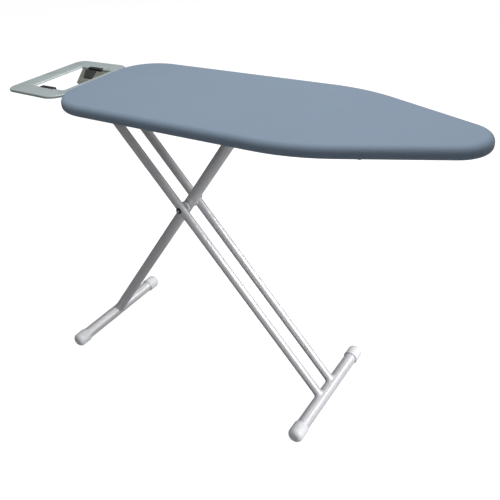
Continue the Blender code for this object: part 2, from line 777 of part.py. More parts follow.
def make_foot_cap(name, side, centre, finish):
    """A cup pushed over the end of a foot bar, with a domed end."""
    bore = FOOT_RADIUS + CLEARANCE
    floor = CAP_LENGTH - CAP_END_WALL
    dome = arc(
        CAP_RADIUS - CAP_DOME, CAP_LENGTH - CAP_DOME, CAP_DOME, CAP_DOME, 0, math.pi / 2, 5
    )
    mouth = (bore + CAP_RADIUS) / 2
    profile = [(0, floor), (bore, floor), (bore, 0), (mouth, 0), (CAP_RADIUS, CAP_MOUTH_BEVEL)]
    profile += dome + [(0, CAP_LENGTH)]
    start = centre + Vector((0, side * (FOOT_HALF_LENGTH - CAP_LENGTH), 0))
    return turned(name, profile, start, Vector((0, side, 0)), finish)


def make_hinge_sleeve(finish):
    half = Vector((0, SLEEVE_HALF, 0))
    wall = SLEEVE_RADIUS - HINGE_ROD_RADIUS - RUNNING_GAP
    return pipe("hinge_sleeve", HINGE - half, HINGE + half, SLEEVE_RADIUS, wall, finish)


def make_pivot_bolt(finish):
    """A domed bolt through both legs where they cross, its head on the near side."""
    head = TWIN_OUTER_Y + CLEARANCE
    end = head + PIVOT_BOLT_END
    profile = [
        (0, -head - PIVOT_BOLT_HEAD_HEIGHT),
        (PIVOT_BOLT_HEAD * 0.5, -head - PIVOT_BOLT_HEAD_HEIGHT * 0.9),
        (PIVOT_BOLT_HEAD * 0.9, -head - PIVOT_BOLT_HEAD_HEIGHT * 0.55),
        (PIVOT_BOLT_HEAD, -head),
        (PIVOT_BOLT_RADIUS, -head),
        (PIVOT_BOLT_RADIUS, end),
        (0, end),
    ]
    return turned("pivot_bolt", profile, PIVOT, Vector((0, 1, 0)), finish, 16)


def make_pivot_nut(finish):
    """A hexagon nut; its bore has six flats too, each clear of the bolt."""
    inner = (PIVOT_BOLT_RADIUS + CLEARANCE) / math.cos(math.pi / 6)
    outer = PIVOT_NUT_RADIUS
    profile = [(inner, 0), (outer, 0), (outer, PIVOT_NUT_HEIGHT), (inner, PIVOT_NUT_HEIGHT)]
    start = PIVOT + Vector((0, TWIN_OUTER_Y + CLEARANCE, 0))
    return turned("pivot_nut", profile, start, Vector((0, 1, 0)), finish, 6)


def make_pivot_spacer(name, side, finish):
    """A plastic ring on the bolt that keeps the two legs apart."""
    inner = PIVOT_BOLT_RADIUS + CLEARANCE
    thickness = LEG_GAP - 2 * CLEARANCE
    profile = [
        (inner, 0),
        (PIVOT_SPACER_RADIUS, 0),
        (PIVOT_SPACER_RADIUS, thickness),
        (inner, thickness),
    ]
    start = PIVOT + Vector((0, side * (SINGLE_RADIUS + CLEARANCE), 0))
    return turned(name, profile, start, Vector((0, side, 0)), finish)


def make_cross_rod(finish):
    half = Vector((0, RAIL_OUTER_Y - SHEET - SIDE_GAP, 0))
    return rod("cross_rod", CROSS_ROD - half, CROSS_ROD + half, CROSS_ROD_RADIUS, finish, 16)


def make_slide_shoe(name, side, finish):
    """A block on the rod's end that slides along its rail and stays level."""
    half_size = Vector((SHOE_LENGTH / 2, SHOE_WIDTH / 2, RAIL_HALF_HEIGHT - SHEET - SHOE_PLAY))
    middle = CROSS_ROD + Vector((0, side * (SHOE_INNER_Y + SHOE_WIDTH / 2), 0))
    shoe = box(name, middle - half_size, middle + half_size, finish)
    rounding = shoe.modifiers.new("rounded edges", "BEVEL")
    rounding.width = SHOE_ROUNDING
    rounding.segments = 2
    cross_hole(shoe, middle, CROSS_ROD_RADIUS + RUNNING_GAP, SHOE_WIDTH, 16)
    return shoe


# ---------------------------------------------------------------- height rack and release
def rack_outline():
    """A flat bar on edge: notches along its lower edge, an eye round the pin at its nose end."""
    points = [(RACK_TAIL_X, RACK_TIP_Z)]
    for number in range(RACK_NOTCHES):
        centre = CROSS_ROD.x + number * RACK_PITCH
        points += arc(centre, RACK_TIP_Z, RACK_NOTCH_RADIUS, RACK_NOTCH_RADIUS * 0.86, math.pi, 0, 6)
    points.append((RACK_PIN.x - 3 * RACK_PIN_EYE, RACK_TIP_Z))
    points += arc(
        RACK_PIN.x, RACK_PIN.z, RACK_PIN_EYE, RACK_PIN_EYE, 1.25 * math.pi, 2.6 * math.pi, 10
    )
    points.append((RACK_PIN.x - RIB_WIDTH / 2 - 2 * RACK_PIN_EYE, RACK_TOP_Z))
    points.append((RACK_TAIL_X, RACK_TOP_Z))
    return points


def make_rack_bar(name, side, finish):
    inner = RACK_BAR_Y
    outer = RACK_BAR_Y + RACK_BAR_THICKNESS
    low, high = (inner, outer) if side > 0 else (-outer, -inner)
    bar = prism(name, rack_outline(), "Y", low, high, finish)
    middle = Vector((RACK_PIN.x, (low + high) / 2, RACK_PIN.z))
    cross_hole(bar, middle, RACK_PIN_RADIUS + RUNNING_GAP, 2 * RACK_BAR_THICKNESS, 16)
    return bar


def lever_line():
    """The lever's middle line as (y, z): over the bars and the far rail, then down to the grip."""
    top = RACK_TOP_Z + CLEARANCE + LEVER_THICKNESS / 2
    low = top - LEVER_DROP
    return [
        (-RACK_BAR_Y - LEVER_LAP, top),
        (RAIL_OUTER_Y + LEVER_LAP, top),
        (RAIL_OUTER_Y + 2 * LEVER_LAP, low),
        (LEVER_REACH, low),
    ]


def make_release_lever(finish):
    outline = strap_outline(lever_line(), LEVER_THICKNESS)
    half = LEVER_WIDTH / 2
    return prism("release_lever", outline, "X", LEVER_X - half, LEVER_X + half, finish)


def make_lever_grip(finish):
    """A rounded grip pushed over the outer end of the lever."""
    level = lever_line()[-1][1]
    start = RAIL_OUTER_Y + GRIP_RAIL_GAP
    low = (LEVER_X - GRIP_LENGTH / 2, start, level - GRIP_WALL)
    high = (LEVER_X + GRIP_LENGTH / 2, LEVER_REACH + GRIP_WALL, level + GRIP_WALL)
    grip = box("lever_grip", low, high, finish)
    rounding = grip.modifiers.new("rounded edges", "BEVEL")
    rounding.width = GRIP_ROUNDING
    rounding.segments = 3
    half_slot = LEVER_WIDTH / 2 + CLEARANCE
    fit = LEVER_THICKNESS / 2 + CLEARANCE
    slot_low = (LEVER_X - half_slot, start - LEVER_LAP, level - fit)
    slot_high = (LEVER_X + half_slot, LEVER_REACH + CLEARANCE, level + fit)
    cut(grip, box("cut_grip_slot", slot_low, slot_high, None))
    return grip


def make_rack_spring(finish):
    """A torsion spring round the rack pin: one arm up to the rib, the other over the far bar."""
    steps = 14
    radius = RACK_PIN_RADIUS + 2.5 * SPRING_WIRE
    pitch = 2.4 * SPRING_WIRE
    last_y = RACK_BAR_Y - 5 * SPRING_WIRE
    first_y = last_y - SPRING_TURNS * pitch
    points = [(radius, first_y, RACK_PIN_EYE)]
    for index in range(SPRING_TURNS * steps):
        angle = 2 * math.pi * index / steps
        across = first_y + pitch * index / steps
        points.append((radius * math.cos(angle), across, -radius * math.sin(angle)))
    bar_top = RACK_TOP_Z - RACK_PIN.z + 2.6 * SPRING_WIRE
    under_rib = radius + SPRING_WIRE / 2
    past_rib = -RIB_WIDTH / 2 - 3 * SPRING_WIRE
    rise = past_rib - 20 * SPRING_WIRE
    points.append((radius * 0.8, last_y, radius * 0.6))
    points.append((-radius * 0.2, last_y + SPRING_WIRE, under_rib))
    points.append((past_rib, last_y + 3 * SPRING_WIRE, under_rib))
    points.append((rise, last_y + 3.5 * SPRING_WIRE, bar_top))
    points.append((rise - 2 * SPRING_WIRE, RACK_BAR_Y + RACK_BAR_THICKNESS, bar_top))
    curve = bpy.data.curves.new("rack_spring", "CURVE")
    curve.dimensions = "3D"
    curve.bevel_depth = SPRING_WIRE
    curve.bevel_resolution = 1
    curve.use_fill_caps = True
    curve.materials.append(finish)
    spline = curve.splines.new("POLY")
    spline.points.add(len(points) - 1)
    for point, place in zip(spline.points, points):
        point.co = (*(RACK_PIN + Vector(place)), 1)
    spring = bpy.data.objects.new("rack_spring", curve)
    bpy.context.collection.objects.link(spring)
    return spring


# ---------------------------------------------------------------- assembly
def empty_at(name, place):
    empty = bpy.data.objects.new(name, None)
    empty.location = place
    bpy.context.collection.objects.link(empty)
    return empty


def hang_on(empty, pieces):
    """Parent pieces to a joint's empty without moving them."""
    for piece in pieces:
        piece.parent = empty
        piece.matrix_parent_inverse = Matrix.Translation(-empty.location)


def make_board(look):
    make_cover(look["cover"])
    make_foam_pad(look["foam"])
    make_top_panel(look["steel"])
    make_edge_frame(look["steel"])
    tail_rib = make_rib("tail_rib", HINGE.x, look["steel"])
    mid_rib = make_rib("mid_rib", MID_RIB_X, look["steel"])
    nose_rib = make_rib("nose_rib", NOSE_RIB_X, look["steel"])
    for side, word in ((-1, "near"), (1, "far")):
        rail = make_guide_rail(f"{word}_guide_rail", side, look["steel"])
        rivet_y = side * (RAIL_INNER_Y + RAIL_RIVET_INSET)
        make_rivet(f"{word}_rail_rivet_tail", MID_RIB_X, rivet_y, SHEET, mid_rib, rail, look["zinc"])
        make_rivet(f"{word}_rail_rivet_nose", NOSE_RIB_X, rivet_y, SHEET, nose_rib, rail, look["zinc"])

        hole = HINGE_ROD_RADIUS + RUNNING_GAP
        depth = HINGE.z - HINGE_EAR_BELOW
        name = f"{word}_hinge_bracket"
        ear = make_ear(name, side, HINGE_EAR_Y, depth, HINGE, HINGE_EAR_LENGTH, hole, look["steel"])
        rivet_y = side * (HINGE_EAR_Y + EAR_RIVET_INSET)
        name = f"{word}_hinge_rivet"
        make_rivet(name, HINGE.x, rivet_y, EAR_THICKNESS, tail_rib, ear, look["zinc"])

        hole = RACK_PIN_RADIUS + RUNNING_GAP
        depth = RACK_PIN.z - RACK_PIN_EYE
        name = f"{word}_rack_bracket"
        ear = make_ear(name, side, RACK_EAR_Y, depth, RACK_PIN, RACK_EAR_LENGTH, hole, look["steel"])
        rivet_y = side * (RACK_EAR_Y + EAR_RIVET_INSET)
        name = f"{word}_rack_rivet"
        make_rivet(name, RACK_PIN.x, rivet_y, EAR_THICKNESS, nose_rib, ear, look["zinc"])

        arm = make_rest_arm(f"{word}_rest_arm", side, look["grey_steel"])
        rivet_x = HINGE.x + REST_RIVET_INSET
        rivet_y = side * REST_ARM_Y
        name = f"{word}_rest_rivet"
        make_rivet(name, rivet_x, rivet_y, REST_ARM_THICKNESS, tail_rib, arm, look["zinc"])
        make_rest_pad(f"{word}_rest_pad", side, look["rubber"])
    half = HINGE_EAR_Y + EAR_THICKNESS + CLEARANCE
    headed_rod("hinge_rod", half, HINGE_ROD_RADIUS, HINGE_ROD_HEAD, HINGE, look["zinc"])
    half = RACK_EAR_Y + EAR_THICKNESS + CLEARANCE
    headed_rod("rack_pin", half, RACK_PIN_RADIUS, RACK_PIN_HEAD, RACK_PIN, look["zinc"])
    make_rack_spring(look["zinc"])
    make_iron_rest(look["grey_steel"])
    make_rest_gusset(look["grey_steel"])
    make_gusset_pad(look["rubber"])


def make_leg_a(look):
    pieces = [
        make_twin_tube("near_twin_tube", -1, look["silver"]),
        make_twin_tube("far_twin_tube", 1, look["silver"]),
        make_hinge_sleeve(look["silver"]),
        make_foot_bar("nose_foot_bar", FOOT_A, look["silver"]),
        make_foot_cap("nose_foot_near_cap", -1, FOOT_A, look["white"]),
        make_foot_cap("nose_foot_far_cap", 1, FOOT_A, look["white"]),
        make_pivot_bolt(look["zinc"]),
        make_pivot_nut(look["zinc"]),
    ]
    hang_on(empty_at("main_fold_axis", HINGE), pieces)


def make_leg_b(look):
    pieces = [
        make_single_tube(look["silver"]),
        make_leg_plug(look["rubber"]),
        make_foot_bar("tail_foot_bar", FOOT_B, look["silver"]),
        make_foot_cap("tail_foot_near_cap", -1, FOOT_B, look["white"]),
        make_foot_cap("tail_foot_far_cap", 1, FOOT_B, look["white"]),
        make_cross_rod(look["zinc"]),
        make_pivot_spacer("near_pivot_spacer", -1, look["white"]),
        make_pivot_spacer("far_pivot_spacer", 1, look["white"]),
    ]
    hang_on(empty_at("leg_crossing_axis", PIVOT), pieces)


def make_shoes(look):
    pieces = [
        make_slide_shoe("near_slide_shoe", -1, look["white"]),
        make_slide_shoe("far_slide_shoe", 1, look["white"]),
    ]
    hang_on(empty_at("shoe_axis", CROSS_ROD), pieces)


def make_release(look):
    pieces = [
        make_rack_bar("near_rack_bar", -1, look["zinc"]),
        make_rack_bar("far_rack_bar", 1, look["zinc"]),
        make_release_lever(look["zinc"]),
        make_lever_grip(look["rubber"]),
    ]
    hang_on(empty_at("release_axis", RACK_PIN), pieces)


def main():
    clear_scene()
    look = {
        "cover": material("blue_grey_cotton", (0.23, 0.30, 0.38), 0.85, 0.0),
        "foam": material("pale_foam", (0.82, 0.80, 0.72), 0.95, 0.0),
        "steel": material("grey_powder_coat", (0.52, 0.54, 0.55), 0.45, 0.3),
        "silver": material("silver_powder_coat", (0.66, 0.67, 0.69), 0.35, 0.6),
        "grey_steel": material("satin_grey_steel", (0.42, 0.47, 0.47), 0.35, 0.7),
        "zinc": material("zinc_plate", (0.62, 0.63, 0.62), 0.30, 0.9),
        "white": material("off_white_plastic", (0.80, 0.81, 0.83), 0.45, 0.0),
        "rubber": material("black_rubber", (0.02, 0.02, 0.022), 0.60, 0.0),
    }
    make_board(look)
    make_leg_a(look)
    make_leg_b(look)
    make_shoes(look)
    make_release(look)


main()
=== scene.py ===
"""Looks of a folding ironing board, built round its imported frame: cover, pad, legs and iron rest."""
import json
import math

import bpy
import numpy as np
from mathutils import Matrix, Vector, noise

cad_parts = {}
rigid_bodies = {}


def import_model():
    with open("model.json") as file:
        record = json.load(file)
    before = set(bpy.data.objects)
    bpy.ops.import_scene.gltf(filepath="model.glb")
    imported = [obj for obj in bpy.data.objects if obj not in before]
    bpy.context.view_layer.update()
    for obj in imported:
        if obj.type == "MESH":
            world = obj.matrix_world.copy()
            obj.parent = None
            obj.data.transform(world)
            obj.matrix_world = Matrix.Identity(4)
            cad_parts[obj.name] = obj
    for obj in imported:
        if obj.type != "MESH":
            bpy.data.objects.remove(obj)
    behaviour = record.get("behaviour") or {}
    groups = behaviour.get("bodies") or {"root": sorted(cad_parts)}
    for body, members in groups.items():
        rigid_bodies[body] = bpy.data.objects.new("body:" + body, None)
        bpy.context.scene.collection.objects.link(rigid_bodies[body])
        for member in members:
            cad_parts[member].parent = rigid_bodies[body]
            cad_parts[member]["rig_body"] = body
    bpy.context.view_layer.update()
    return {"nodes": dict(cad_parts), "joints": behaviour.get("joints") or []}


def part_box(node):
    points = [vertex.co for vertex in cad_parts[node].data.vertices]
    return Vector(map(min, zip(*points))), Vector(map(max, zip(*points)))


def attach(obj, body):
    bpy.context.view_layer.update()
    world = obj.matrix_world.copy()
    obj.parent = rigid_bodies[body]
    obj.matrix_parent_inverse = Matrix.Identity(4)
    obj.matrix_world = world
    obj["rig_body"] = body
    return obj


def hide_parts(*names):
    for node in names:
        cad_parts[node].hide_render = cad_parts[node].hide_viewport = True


bl_info = {
    "name": "Ironing board",
    "version": (1, 0, 0),
    "blender": (4, 5, 0),
    "location": "View3D > Sidebar > Ironing board",
    "description": "Cover, pad, steel mesh top, folding legs and iron rest of an ironing board",
    "category": "Object",
}

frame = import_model()

UP = Vector((0, 0, 1))
ACROSS = Vector((0, 1, 0))
SIDES = ((-1, "near"), (1, "far"))
ROUND = 64
SMALL_ROUND = 32
QUARTER = math.pi / 2
SMOOTH_ANGLE = math.radians(35)
SOFT_ANGLE = math.radians(80)
MERGE = 0.00002


# ---------------------------------------------------------------- places that the frame gives
def joint_place(name):
    joint = next(joint for joint in frame["joints"] if joint["name"] == name)
    return Vector(joint["pos_m"])


def middle_of(node):
    low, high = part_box(node)
    return (low + high) / 2


def size_of(node):
    low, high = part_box(node)
    return high - low


def body_of(node):
    return frame["nodes"][node]["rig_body"]


HINGE = joint_place("main_fold")
PIVOT = joint_place("leg_crossing")
CROSS_ROD = joint_place("shoe_tilt")
NOSE_FOOT = middle_of("nose_foot_bar")
TAIL_FOOT = middle_of("tail_foot_bar")
TWIN_RADIUS = size_of("near_twin_tube").y / 2
TWIN_Y = middle_of("far_twin_tube").y
SINGLE_RADIUS = size_of("single_leg_tube").y / 2
FOOT_RADIUS = size_of("nose_foot_bar").z / 2
TAIL_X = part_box("cover")[0].x
NOSE_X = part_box("cover")[1].x
BOARD_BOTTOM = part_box("cover")[0].z
BOARD_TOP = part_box("cover")[1].z
HALF_WIDTH = size_of("cover").y / 2


# ---------------------------------------------------------------- settings
def length_property(label, description, default):
    return bpy.props.FloatProperty(
        name=label, description=description, default=default, unit="LENGTH", subtype="DISTANCE", precision=4
    )


def colour_property(label, description, default):
    return bpy.props.FloatVectorProperty(
        name=label, description=description, default=default, subtype="COLOR", min=0, max=1
    )


class BoardShape(bpy.types.PropertyGroup):
    """Sizes of the board's outline and of what is sewn and stretched over it."""

    tail_corner_length: length_property("Tail corner length", "Length of the rounded tail corners", 0.130)
    tail_corner_width: length_property("Tail corner width", "Width of the rounded tail corners", 0.110)
    taper_length: length_property("Taper length", "From the nose to where the board narrows", 0.450)
    shoulder_radius: length_property("Shoulder radius", "Radius where the taper starts", 0.468)
    nose_radius: length_property("Nose radius", "Radius of the rounded nose", 0.078)
    edge_roll: length_property("Edge roll", "Radius of the padded upper edge", 0.0165)
    lower_roll: length_property("Lower roll", "Radius where the cover turns under the board", 0.0070)
    hem_width: length_property("Hem width", "How far the cover reaches under the board", 0.0215)
    gather_depth: length_property("Gather depth", "Height of the gathers at the nose", 0.0022)
    casing_radius: length_property("Casing radius", "Radius of the sewn casing at the cover's edge", 0.0018)
    cloth: length_property("Cloth", "Thickness of the cotton", 0.0005)
    crown: length_property("Crown", "How far the padded top stands up in the middle", 0.0008)
    mesh_length: length_property("Mesh length", "Long way of the steel mesh's diamonds", 0.026)
    mesh_width: length_property("Mesh width", "Short way of the steel mesh's diamonds", 0.0105)
    strand: length_property("Strand", "Width of the steel mesh's strands", 0.0022)


class RestShape(bpy.types.PropertyGroup):
    """Sizes of the pressed iron rest."""

    corner: length_property("Corner radius", "Radius of the ring's corners at its outer end", 0.030)
    board_corner: length_property("Board end corner", "Radius of the ring's corners at the board", 0.046)
    opening_corner: length_property("Opening corner", "Radius of the opening's corners", 0.006)
    band: length_property("Band", "Width of the ring at its outer end", 0.055)
    strip: length_property("Strip", "Width of the ring along the board", 0.029)
    opening_half: length_property("Opening half width", "Half the opening's width", 0.095)
    inner_half: length_property("Board end half width", "Half the ring's width at the board", 0.154)
    outer_half: length_property("Outer end half width", "Half the ring's width at its outer end", 0.150)
    rim: length_property("Rim", "Depth of the outer rim", 0.007)
    lip: length_property("Lip", "Depth of the lip round the opening", 0.005)
    sheet: length_property("Sheet", "Thickness of the steel", 0.0015)


class Finishes(bpy.types.PropertyGroup):
    """Colours of the board's finishes."""

    cover: colour_property("Cover", "Cotton cover", (0.238, 0.312, 0.405))
    felt: colour_property("Pad", "Felt under the cover", (0.62, 0.60, 0.54))
    leg_paint: colour_property("Leg paint", "Silver powder coat", (0.72, 0.72, 0.745))
    frame_paint: colour_property("Frame paint", "Grey coat of the ribs and rails", (0.40, 0.41, 0.42))
    # The gusset's dark khaki grey is painted shade: the colour of its steel in the shadow under the ring.
    rest_steel: colour_property("Rest", "Satin steel of the iron rest", (0.41, 0.465, 0.465))
    gusset_shaded_steel: colour_property("Gusset", "Dull steel of the rest's gusset", (0.25, 0.25, 0.22))
    zinc: colour_property("Zinc", "Zinc plate on rods and rivets", (0.58, 0.59, 0.60))
    plastic: colour_property("Plastic", "Off-white caps and shoes", (0.74, 0.75, 0.77))
    rubber: colour_property("Rubber", "Black pads and grip", (0.018, 0.018, 0.020))


def board():
    return bpy.context.scene.board_shape


def rest():
    return bpy.context.scene.rest_shape


def finishes():
    return bpy.context.scene.board_finishes


# ---------------------------------------------------------------- materials
def new_finish(name):
    made = bpy.data.materials.new(name)
    made.use_nodes = True
    return made, made.node_tree, made.node_tree.nodes["Principled BSDF"]


def add_node(tree, kind, settings=None, **sockets):
    """Add a node, set its options, and fill or link its sockets by name; _ stands for a space."""
    made = tree.nodes.new(kind)
    for option, value in (settings or {}).items():
        setattr(made, option, value)
    for name, value in sockets.items():
        socket = made.inputs[int(name[1:])] if name[1:].isdigit() else made.inputs[name.replace("_", " ")]
        if isinstance(value, bpy.types.NodeSocket):
            tree.links.new(value, socket)
        else:
            socket.default_value = value
    return made


def object_place(tree, stretch=(1, 1, 1)):
    """Object coordinates, stretched where a pattern runs one way."""
    place = add_node(tree, "ShaderNodeTexCoord")
    return add_node(
        tree, "ShaderNodeMapping", Vector=place.outputs["Object"], Scale=stretch
    ).outputs["Vector"]


def noise_of(tree, place, scale, detail=2.0, roughness=0.5):
    made = add_node(
        tree, "ShaderNodeTexNoise", Vector=place, Scale=scale, Detail=detail, Roughness=roughness
    )
    return made.outputs["Fac"]


def ramp_of(tree, factor, stops):
    """A colour ramp from (position, colour) stops."""
    made = add_node(tree, "ShaderNodeValToRGB", Fac=factor)
    ramp = made.color_ramp
    while len(ramp.elements) < len(stops):
        ramp.elements.new(1.0)
    for element, (position, colour) in zip(ramp.elements, stops):
        element.position = position
        element.color = (*colour, 1.0)
    return made.outputs["Color"]


def shade(colour, factor):
    return tuple(min(1.0, channel * factor) for channel in colour)


def shades_of(tree, factor, colour, dark, light, low=0.30):
    """A ramp from a darker to a lighter shade of one colour."""
    return ramp_of(tree, factor, [(low, shade(colour, dark)), (1 - low, shade(colour, light))])


def range_of(tree, factor, low, high, from_low=0.25, from_high=0.75):
    ends = {"From_Min": from_low, "From_Max": from_high, "To_Min": low, "To_Max": high}
    return add_node(tree, "ShaderNodeMapRange", Value=factor, **ends).outputs["Result"]


def bump_of(tree, height, distance, strength, normal=None):
    made = add_node(tree, "ShaderNodeBump", Height=height, Distance=distance, Strength=strength)
    if normal is not None:
        tree.links.new(normal, made.inputs["Normal"])
    return made.outputs["Normal"]


def join_finish(tree, shader, colour=None, roughness=None, normal=None):
    for value, name in ((colour, "Base Color"), (roughness, "Roughness"), (normal, "Normal")):
        if value is not None:
            tree.links.new(value, shader.inputs[name])


def mix_colours(tree, factor, first, second, blend="MIX"):
    made = add_node(tree, "ShaderNodeMix", {"data_type": "RGBA", "blend_type": blend})
    for value, index in ((factor, 0), (first, 6), (second, 7)):
        if isinstance(value, bpy.types.NodeSocket):
            tree.links.new(value, made.inputs[index])
        elif index:
            made.inputs[index].default_value = (*value, 1.0)
        else:
            made.inputs[index].default_value = value
    return made.outputs[2]


def cotton(name, colour, thread):
    """Plain woven cotton; the weave follows the cloth's own flat pattern, in metres."""
    made, tree, shader = new_finish(name)
    flat = add_node(tree, "ShaderNodeTexCoord").outputs["UV"]
    scale = 2 * math.pi / (20 * thread)
    waves = [
        add_node(
            tree,
            "ShaderNodeTexWave",
            {"wave_type": "BANDS", "bands_direction": way, "wave_profile": "SIN"},
            Vector=flat,
            Scale=scale,
            Distortion=0.6,
            Detail=1.0,
        ).outputs["Fac"]
        for way in "XY"
    ]
    weave = add_node(tree, "ShaderNodeMath", {"operation": "MULTIPLY"}, _0=waves[0], _1=waves[1]).outputs[0]
    place = object_place(tree)
    slub = noise_of(tree, object_place(tree, (60, 900, 900)), 1.0, 3.0)
    broad = noise_of(tree, place, 5.0, 2.0, 0.4)
    threads = ramp_of(tree, weave, [(0.0, shade(colour, 0.90)), (0.6, shade(colour, 1.05))])
    clouds = shades_of(tree, broad, colour, 0.97, 1.03, 0.25)
    dyed = mix_colours(tree, 0.5, threads, clouds)
    flecks = ramp_of(tree, slub, [(0.30, (0.94, 0.94, 0.94)), (0.70, (1.0, 1.0, 1.0))])
    colours = mix_colours(tree, 1.0, dyed, flecks, "MULTIPLY")
    cloth = bump_of(tree, broad, 0.004, 0.06)
    normal = bump_of(tree, weave, 0.00015, 0.35, cloth)
    join_finish(tree, shader, colours, range_of(tree, slub, 0.66, 0.80), normal)
    shader.inputs["Sheen Weight"].default_value = 0.18
    shader.inputs["Sheen Roughness"].default_value = 0.45
    shader.inputs["Specular IOR Level"].default_value = 0.35
    return made


def thread_finish(name, colour):
    made, tree, shader = new_finish(name)
    twist = noise_of(tree, object_place(tree), 1800.0, 2.0)
    colours = shades_of(tree, twist, colour, 0.75, 1.15)
    join_finish(tree, shader, colours, range_of(tree, twist, 0.6, 0.8), bump_of(tree, twist, 0.0002, 0.4))
    shader.inputs["Sheen Weight"].default_value = 0.2
    return made


def felt(name, colour):
    made, tree, shader = new_finish(name)
    place = object_place(tree)
    fibres = noise_of(tree, place, 420.0, 6.0, 0.7)
    clumps = noise_of(tree, place, 45.0, 3.0, 0.6)
    fine = shades_of(tree, fibres, colour, 0.80, 1.08)
    broad = shades_of(tree, clumps, colour, 0.88, 1.05)
    colours = mix_colours(tree, 0.5, fine, broad)
    normal = bump_of(tree, fibres, 0.0006, 0.6, bump_of(tree, clumps, 0.002, 0.3))
    join_finish(tree, shader, colours, range_of(tree, fibres, 0.85, 0.97), normal)
    shader.inputs["Sheen Weight"].default_value = 0.3
    return made


def powder_coat(name, colour, metallic, roughness):
    """Baked powder paint: fine metallic flake, a faint orange peel and a few rubbed places."""
    made, tree, shader = new_finish(name)
    place = object_place(tree)
    flake = noise_of(tree, place, 1400.0, 2.0, 0.6)
    peel = noise_of(tree, place, 260.0, 2.0, 0.5)
    rubbed = noise_of(tree, place, 14.0, 5.0, 0.65)
    sparkle = shades_of(tree, flake, colour, 0.86, 1.10, 0.32)
    dusty = shades_of(tree, rubbed, colour, 0.93, 1.02, 0.35)
    colours = mix_colours(tree, 0.45, sparkle, dusty)
    rough = range_of(tree, rubbed, roughness - 0.05, roughness + 0.07, 0.3, 0.7)
    normal = bump_of(tree, flake, 0.00008, 0.15, bump_of(tree, peel, 0.0003, 0.05))
    join_finish(tree, shader, colours, rough, normal)
    shader.inputs["Metallic"].default_value = metallic
    shader.inputs["Coat Weight"].default_value = 0.30
    shader.inputs["Coat Roughness"].default_value = 0.16
    return made


def satin_steel(name, colour, roughness, metallic=0.85):
    """Rolled sheet with fine lines along the board and cloudy wiping marks."""
    made, tree, shader = new_finish(name)
    lines = noise_of(tree, object_place(tree, (18, 900, 18)), 1.0, 4.0, 0.7)
    clouds = noise_of(tree, object_place(tree), 22.0, 4.0, 0.6)
    rolled = shades_of(tree, lines, colour, 0.92, 1.07)
    wiped = shades_of(tree, clouds, colour, 0.93, 1.05)
    colours = mix_colours(tree, 0.5, rolled, wiped)
    rough = range_of(tree, clouds, roughness - 0.05, roughness + 0.08, 0.3, 0.7)
    join_finish(tree, shader, colours, rough, bump_of(tree, clouds, 0.0002, 0.08))
    shader.inputs["Metallic"].default_value = metallic
    return made


def zinc_plate(name, colour, roughness):
    made, tree, shader = new_finish(name)
    place = object_place(tree)
    spangle = add_node(tree, "ShaderNodeTexVoronoi", Vector=place, Scale=260.0, Randomness=1.0)
    clouds = noise_of(tree, place, 120.0, 4.0, 0.6)
    grains = ramp_of(
        tree, spangle.outputs["Distance"], [(0.0, shade(colour, 1.08)), (0.8, shade(colour, 0.88))]
    )
    dull = shades_of(tree, clouds, colour, 0.85, 1.05)
    colours = mix_colours(tree, 0.5, grains, dull)
    rough = range_of(tree, clouds, roughness - 0.06, roughness + 0.10, 0.3, 0.7)
    join_finish(tree, shader, colours, rough, bump_of(tree, clouds, 0.0001, 0.15))
    shader.inputs["Metallic"].default_value = 0.9
    return made


def moulded(name, colour, roughness, grain):
    """Moulded plastic or rubber with a fine spark-eroded grain and light scuffs."""
    made, tree, shader = new_finish(name)
    place = object_place(tree)
    spark = noise_of(tree, place, 900.0, 3.0, 0.6)
    scuffs = noise_of(tree, object_place(tree, (30, 160, 160)), 1.0, 5.0, 0.7)
    colours = shades_of(tree, scuffs, colour, 0.93, 1.03)
    rough = range_of(tree, scuffs, roughness - 0.05, roughness + 0.10, 0.3, 0.7)
    join_finish(tree, shader, colours, rough, bump_of(tree, spark, 0.00025, grain))
    shader.inputs["Specular IOR Level"].default_value = 0.45
    return made


FINISHED = {}


def finish_named(name):
    """The finish of that name, made the first time it is asked for."""
    colours = finishes()
    makers = {
        "cover": lambda: cotton("woven_cotton", colours.cover, 0.0007),
        "thread": lambda: thread_finish("sewing_thread", colours.cover),
        "felt": lambda: felt("needled_felt", colours.felt),
        "legs": lambda: powder_coat("silver_powder_coat", colours.leg_paint, 0.35, 0.38),
        "frame": lambda: powder_coat("grey_powder_coat", colours.frame_paint, 0.25, 0.42),
        "mesh": lambda: powder_coat("mesh_coat", shade(colours.frame_paint, 0.75), 0.30, 0.40),
        "rest": lambda: satin_steel("satin_steel", colours.rest_steel, 0.42, 0.25),
        # This finish carries painted shade: its dark khaki grey is the gusset's steel as it looks in the
        # shadow under the ring.
        "gusset": lambda: satin_steel("gusset_painted_shade", colours.gusset_shaded_steel, 0.50, 0.6),
        "zinc": lambda: zinc_plate("zinc_plate", colours.zinc, 0.30),
        "plastic": lambda: moulded("off_white_plastic", colours.plastic, 0.40, 0.10),
        "rubber": lambda: moulded("black_rubber", colours.rubber, 0.55, 0.25),
        "bolt": lambda: moulded("blackened_steel", shade(colours.rubber, 0.8), 0.22, 0.05),
    }
    if name not in FINISHED:
        FINISHED[name] = makers[name]()
    return FINISHED[name]


# ---------------------------------------------------------------- modelling helpers
def pick(*objects):
    """Select only these objects, in object mode, the first one active."""
    active = bpy.context.view_layer.objects.active
    if active is not None and active.mode != "OBJECT":
        bpy.ops.object.mode_set(mode="OBJECT")
    bpy.ops.object.select_all(action="DESELECT")
    for item in objects:
        item.select_set(True)
    if objects:
        bpy.context.view_layer.objects.active = objects[0]


def edit(piece, kind="FACE"):
    """Open a piece in edit mode with nothing selected."""
    pick(piece)
    bpy.ops.object.mode_set(mode="EDIT")
    bpy.ops.mesh.select_mode(type=kind)
    bpy.ops.mesh.select_all(action="DESELECT")


def leave_edit():
    bpy.ops.object.mode_set(mode="OBJECT")


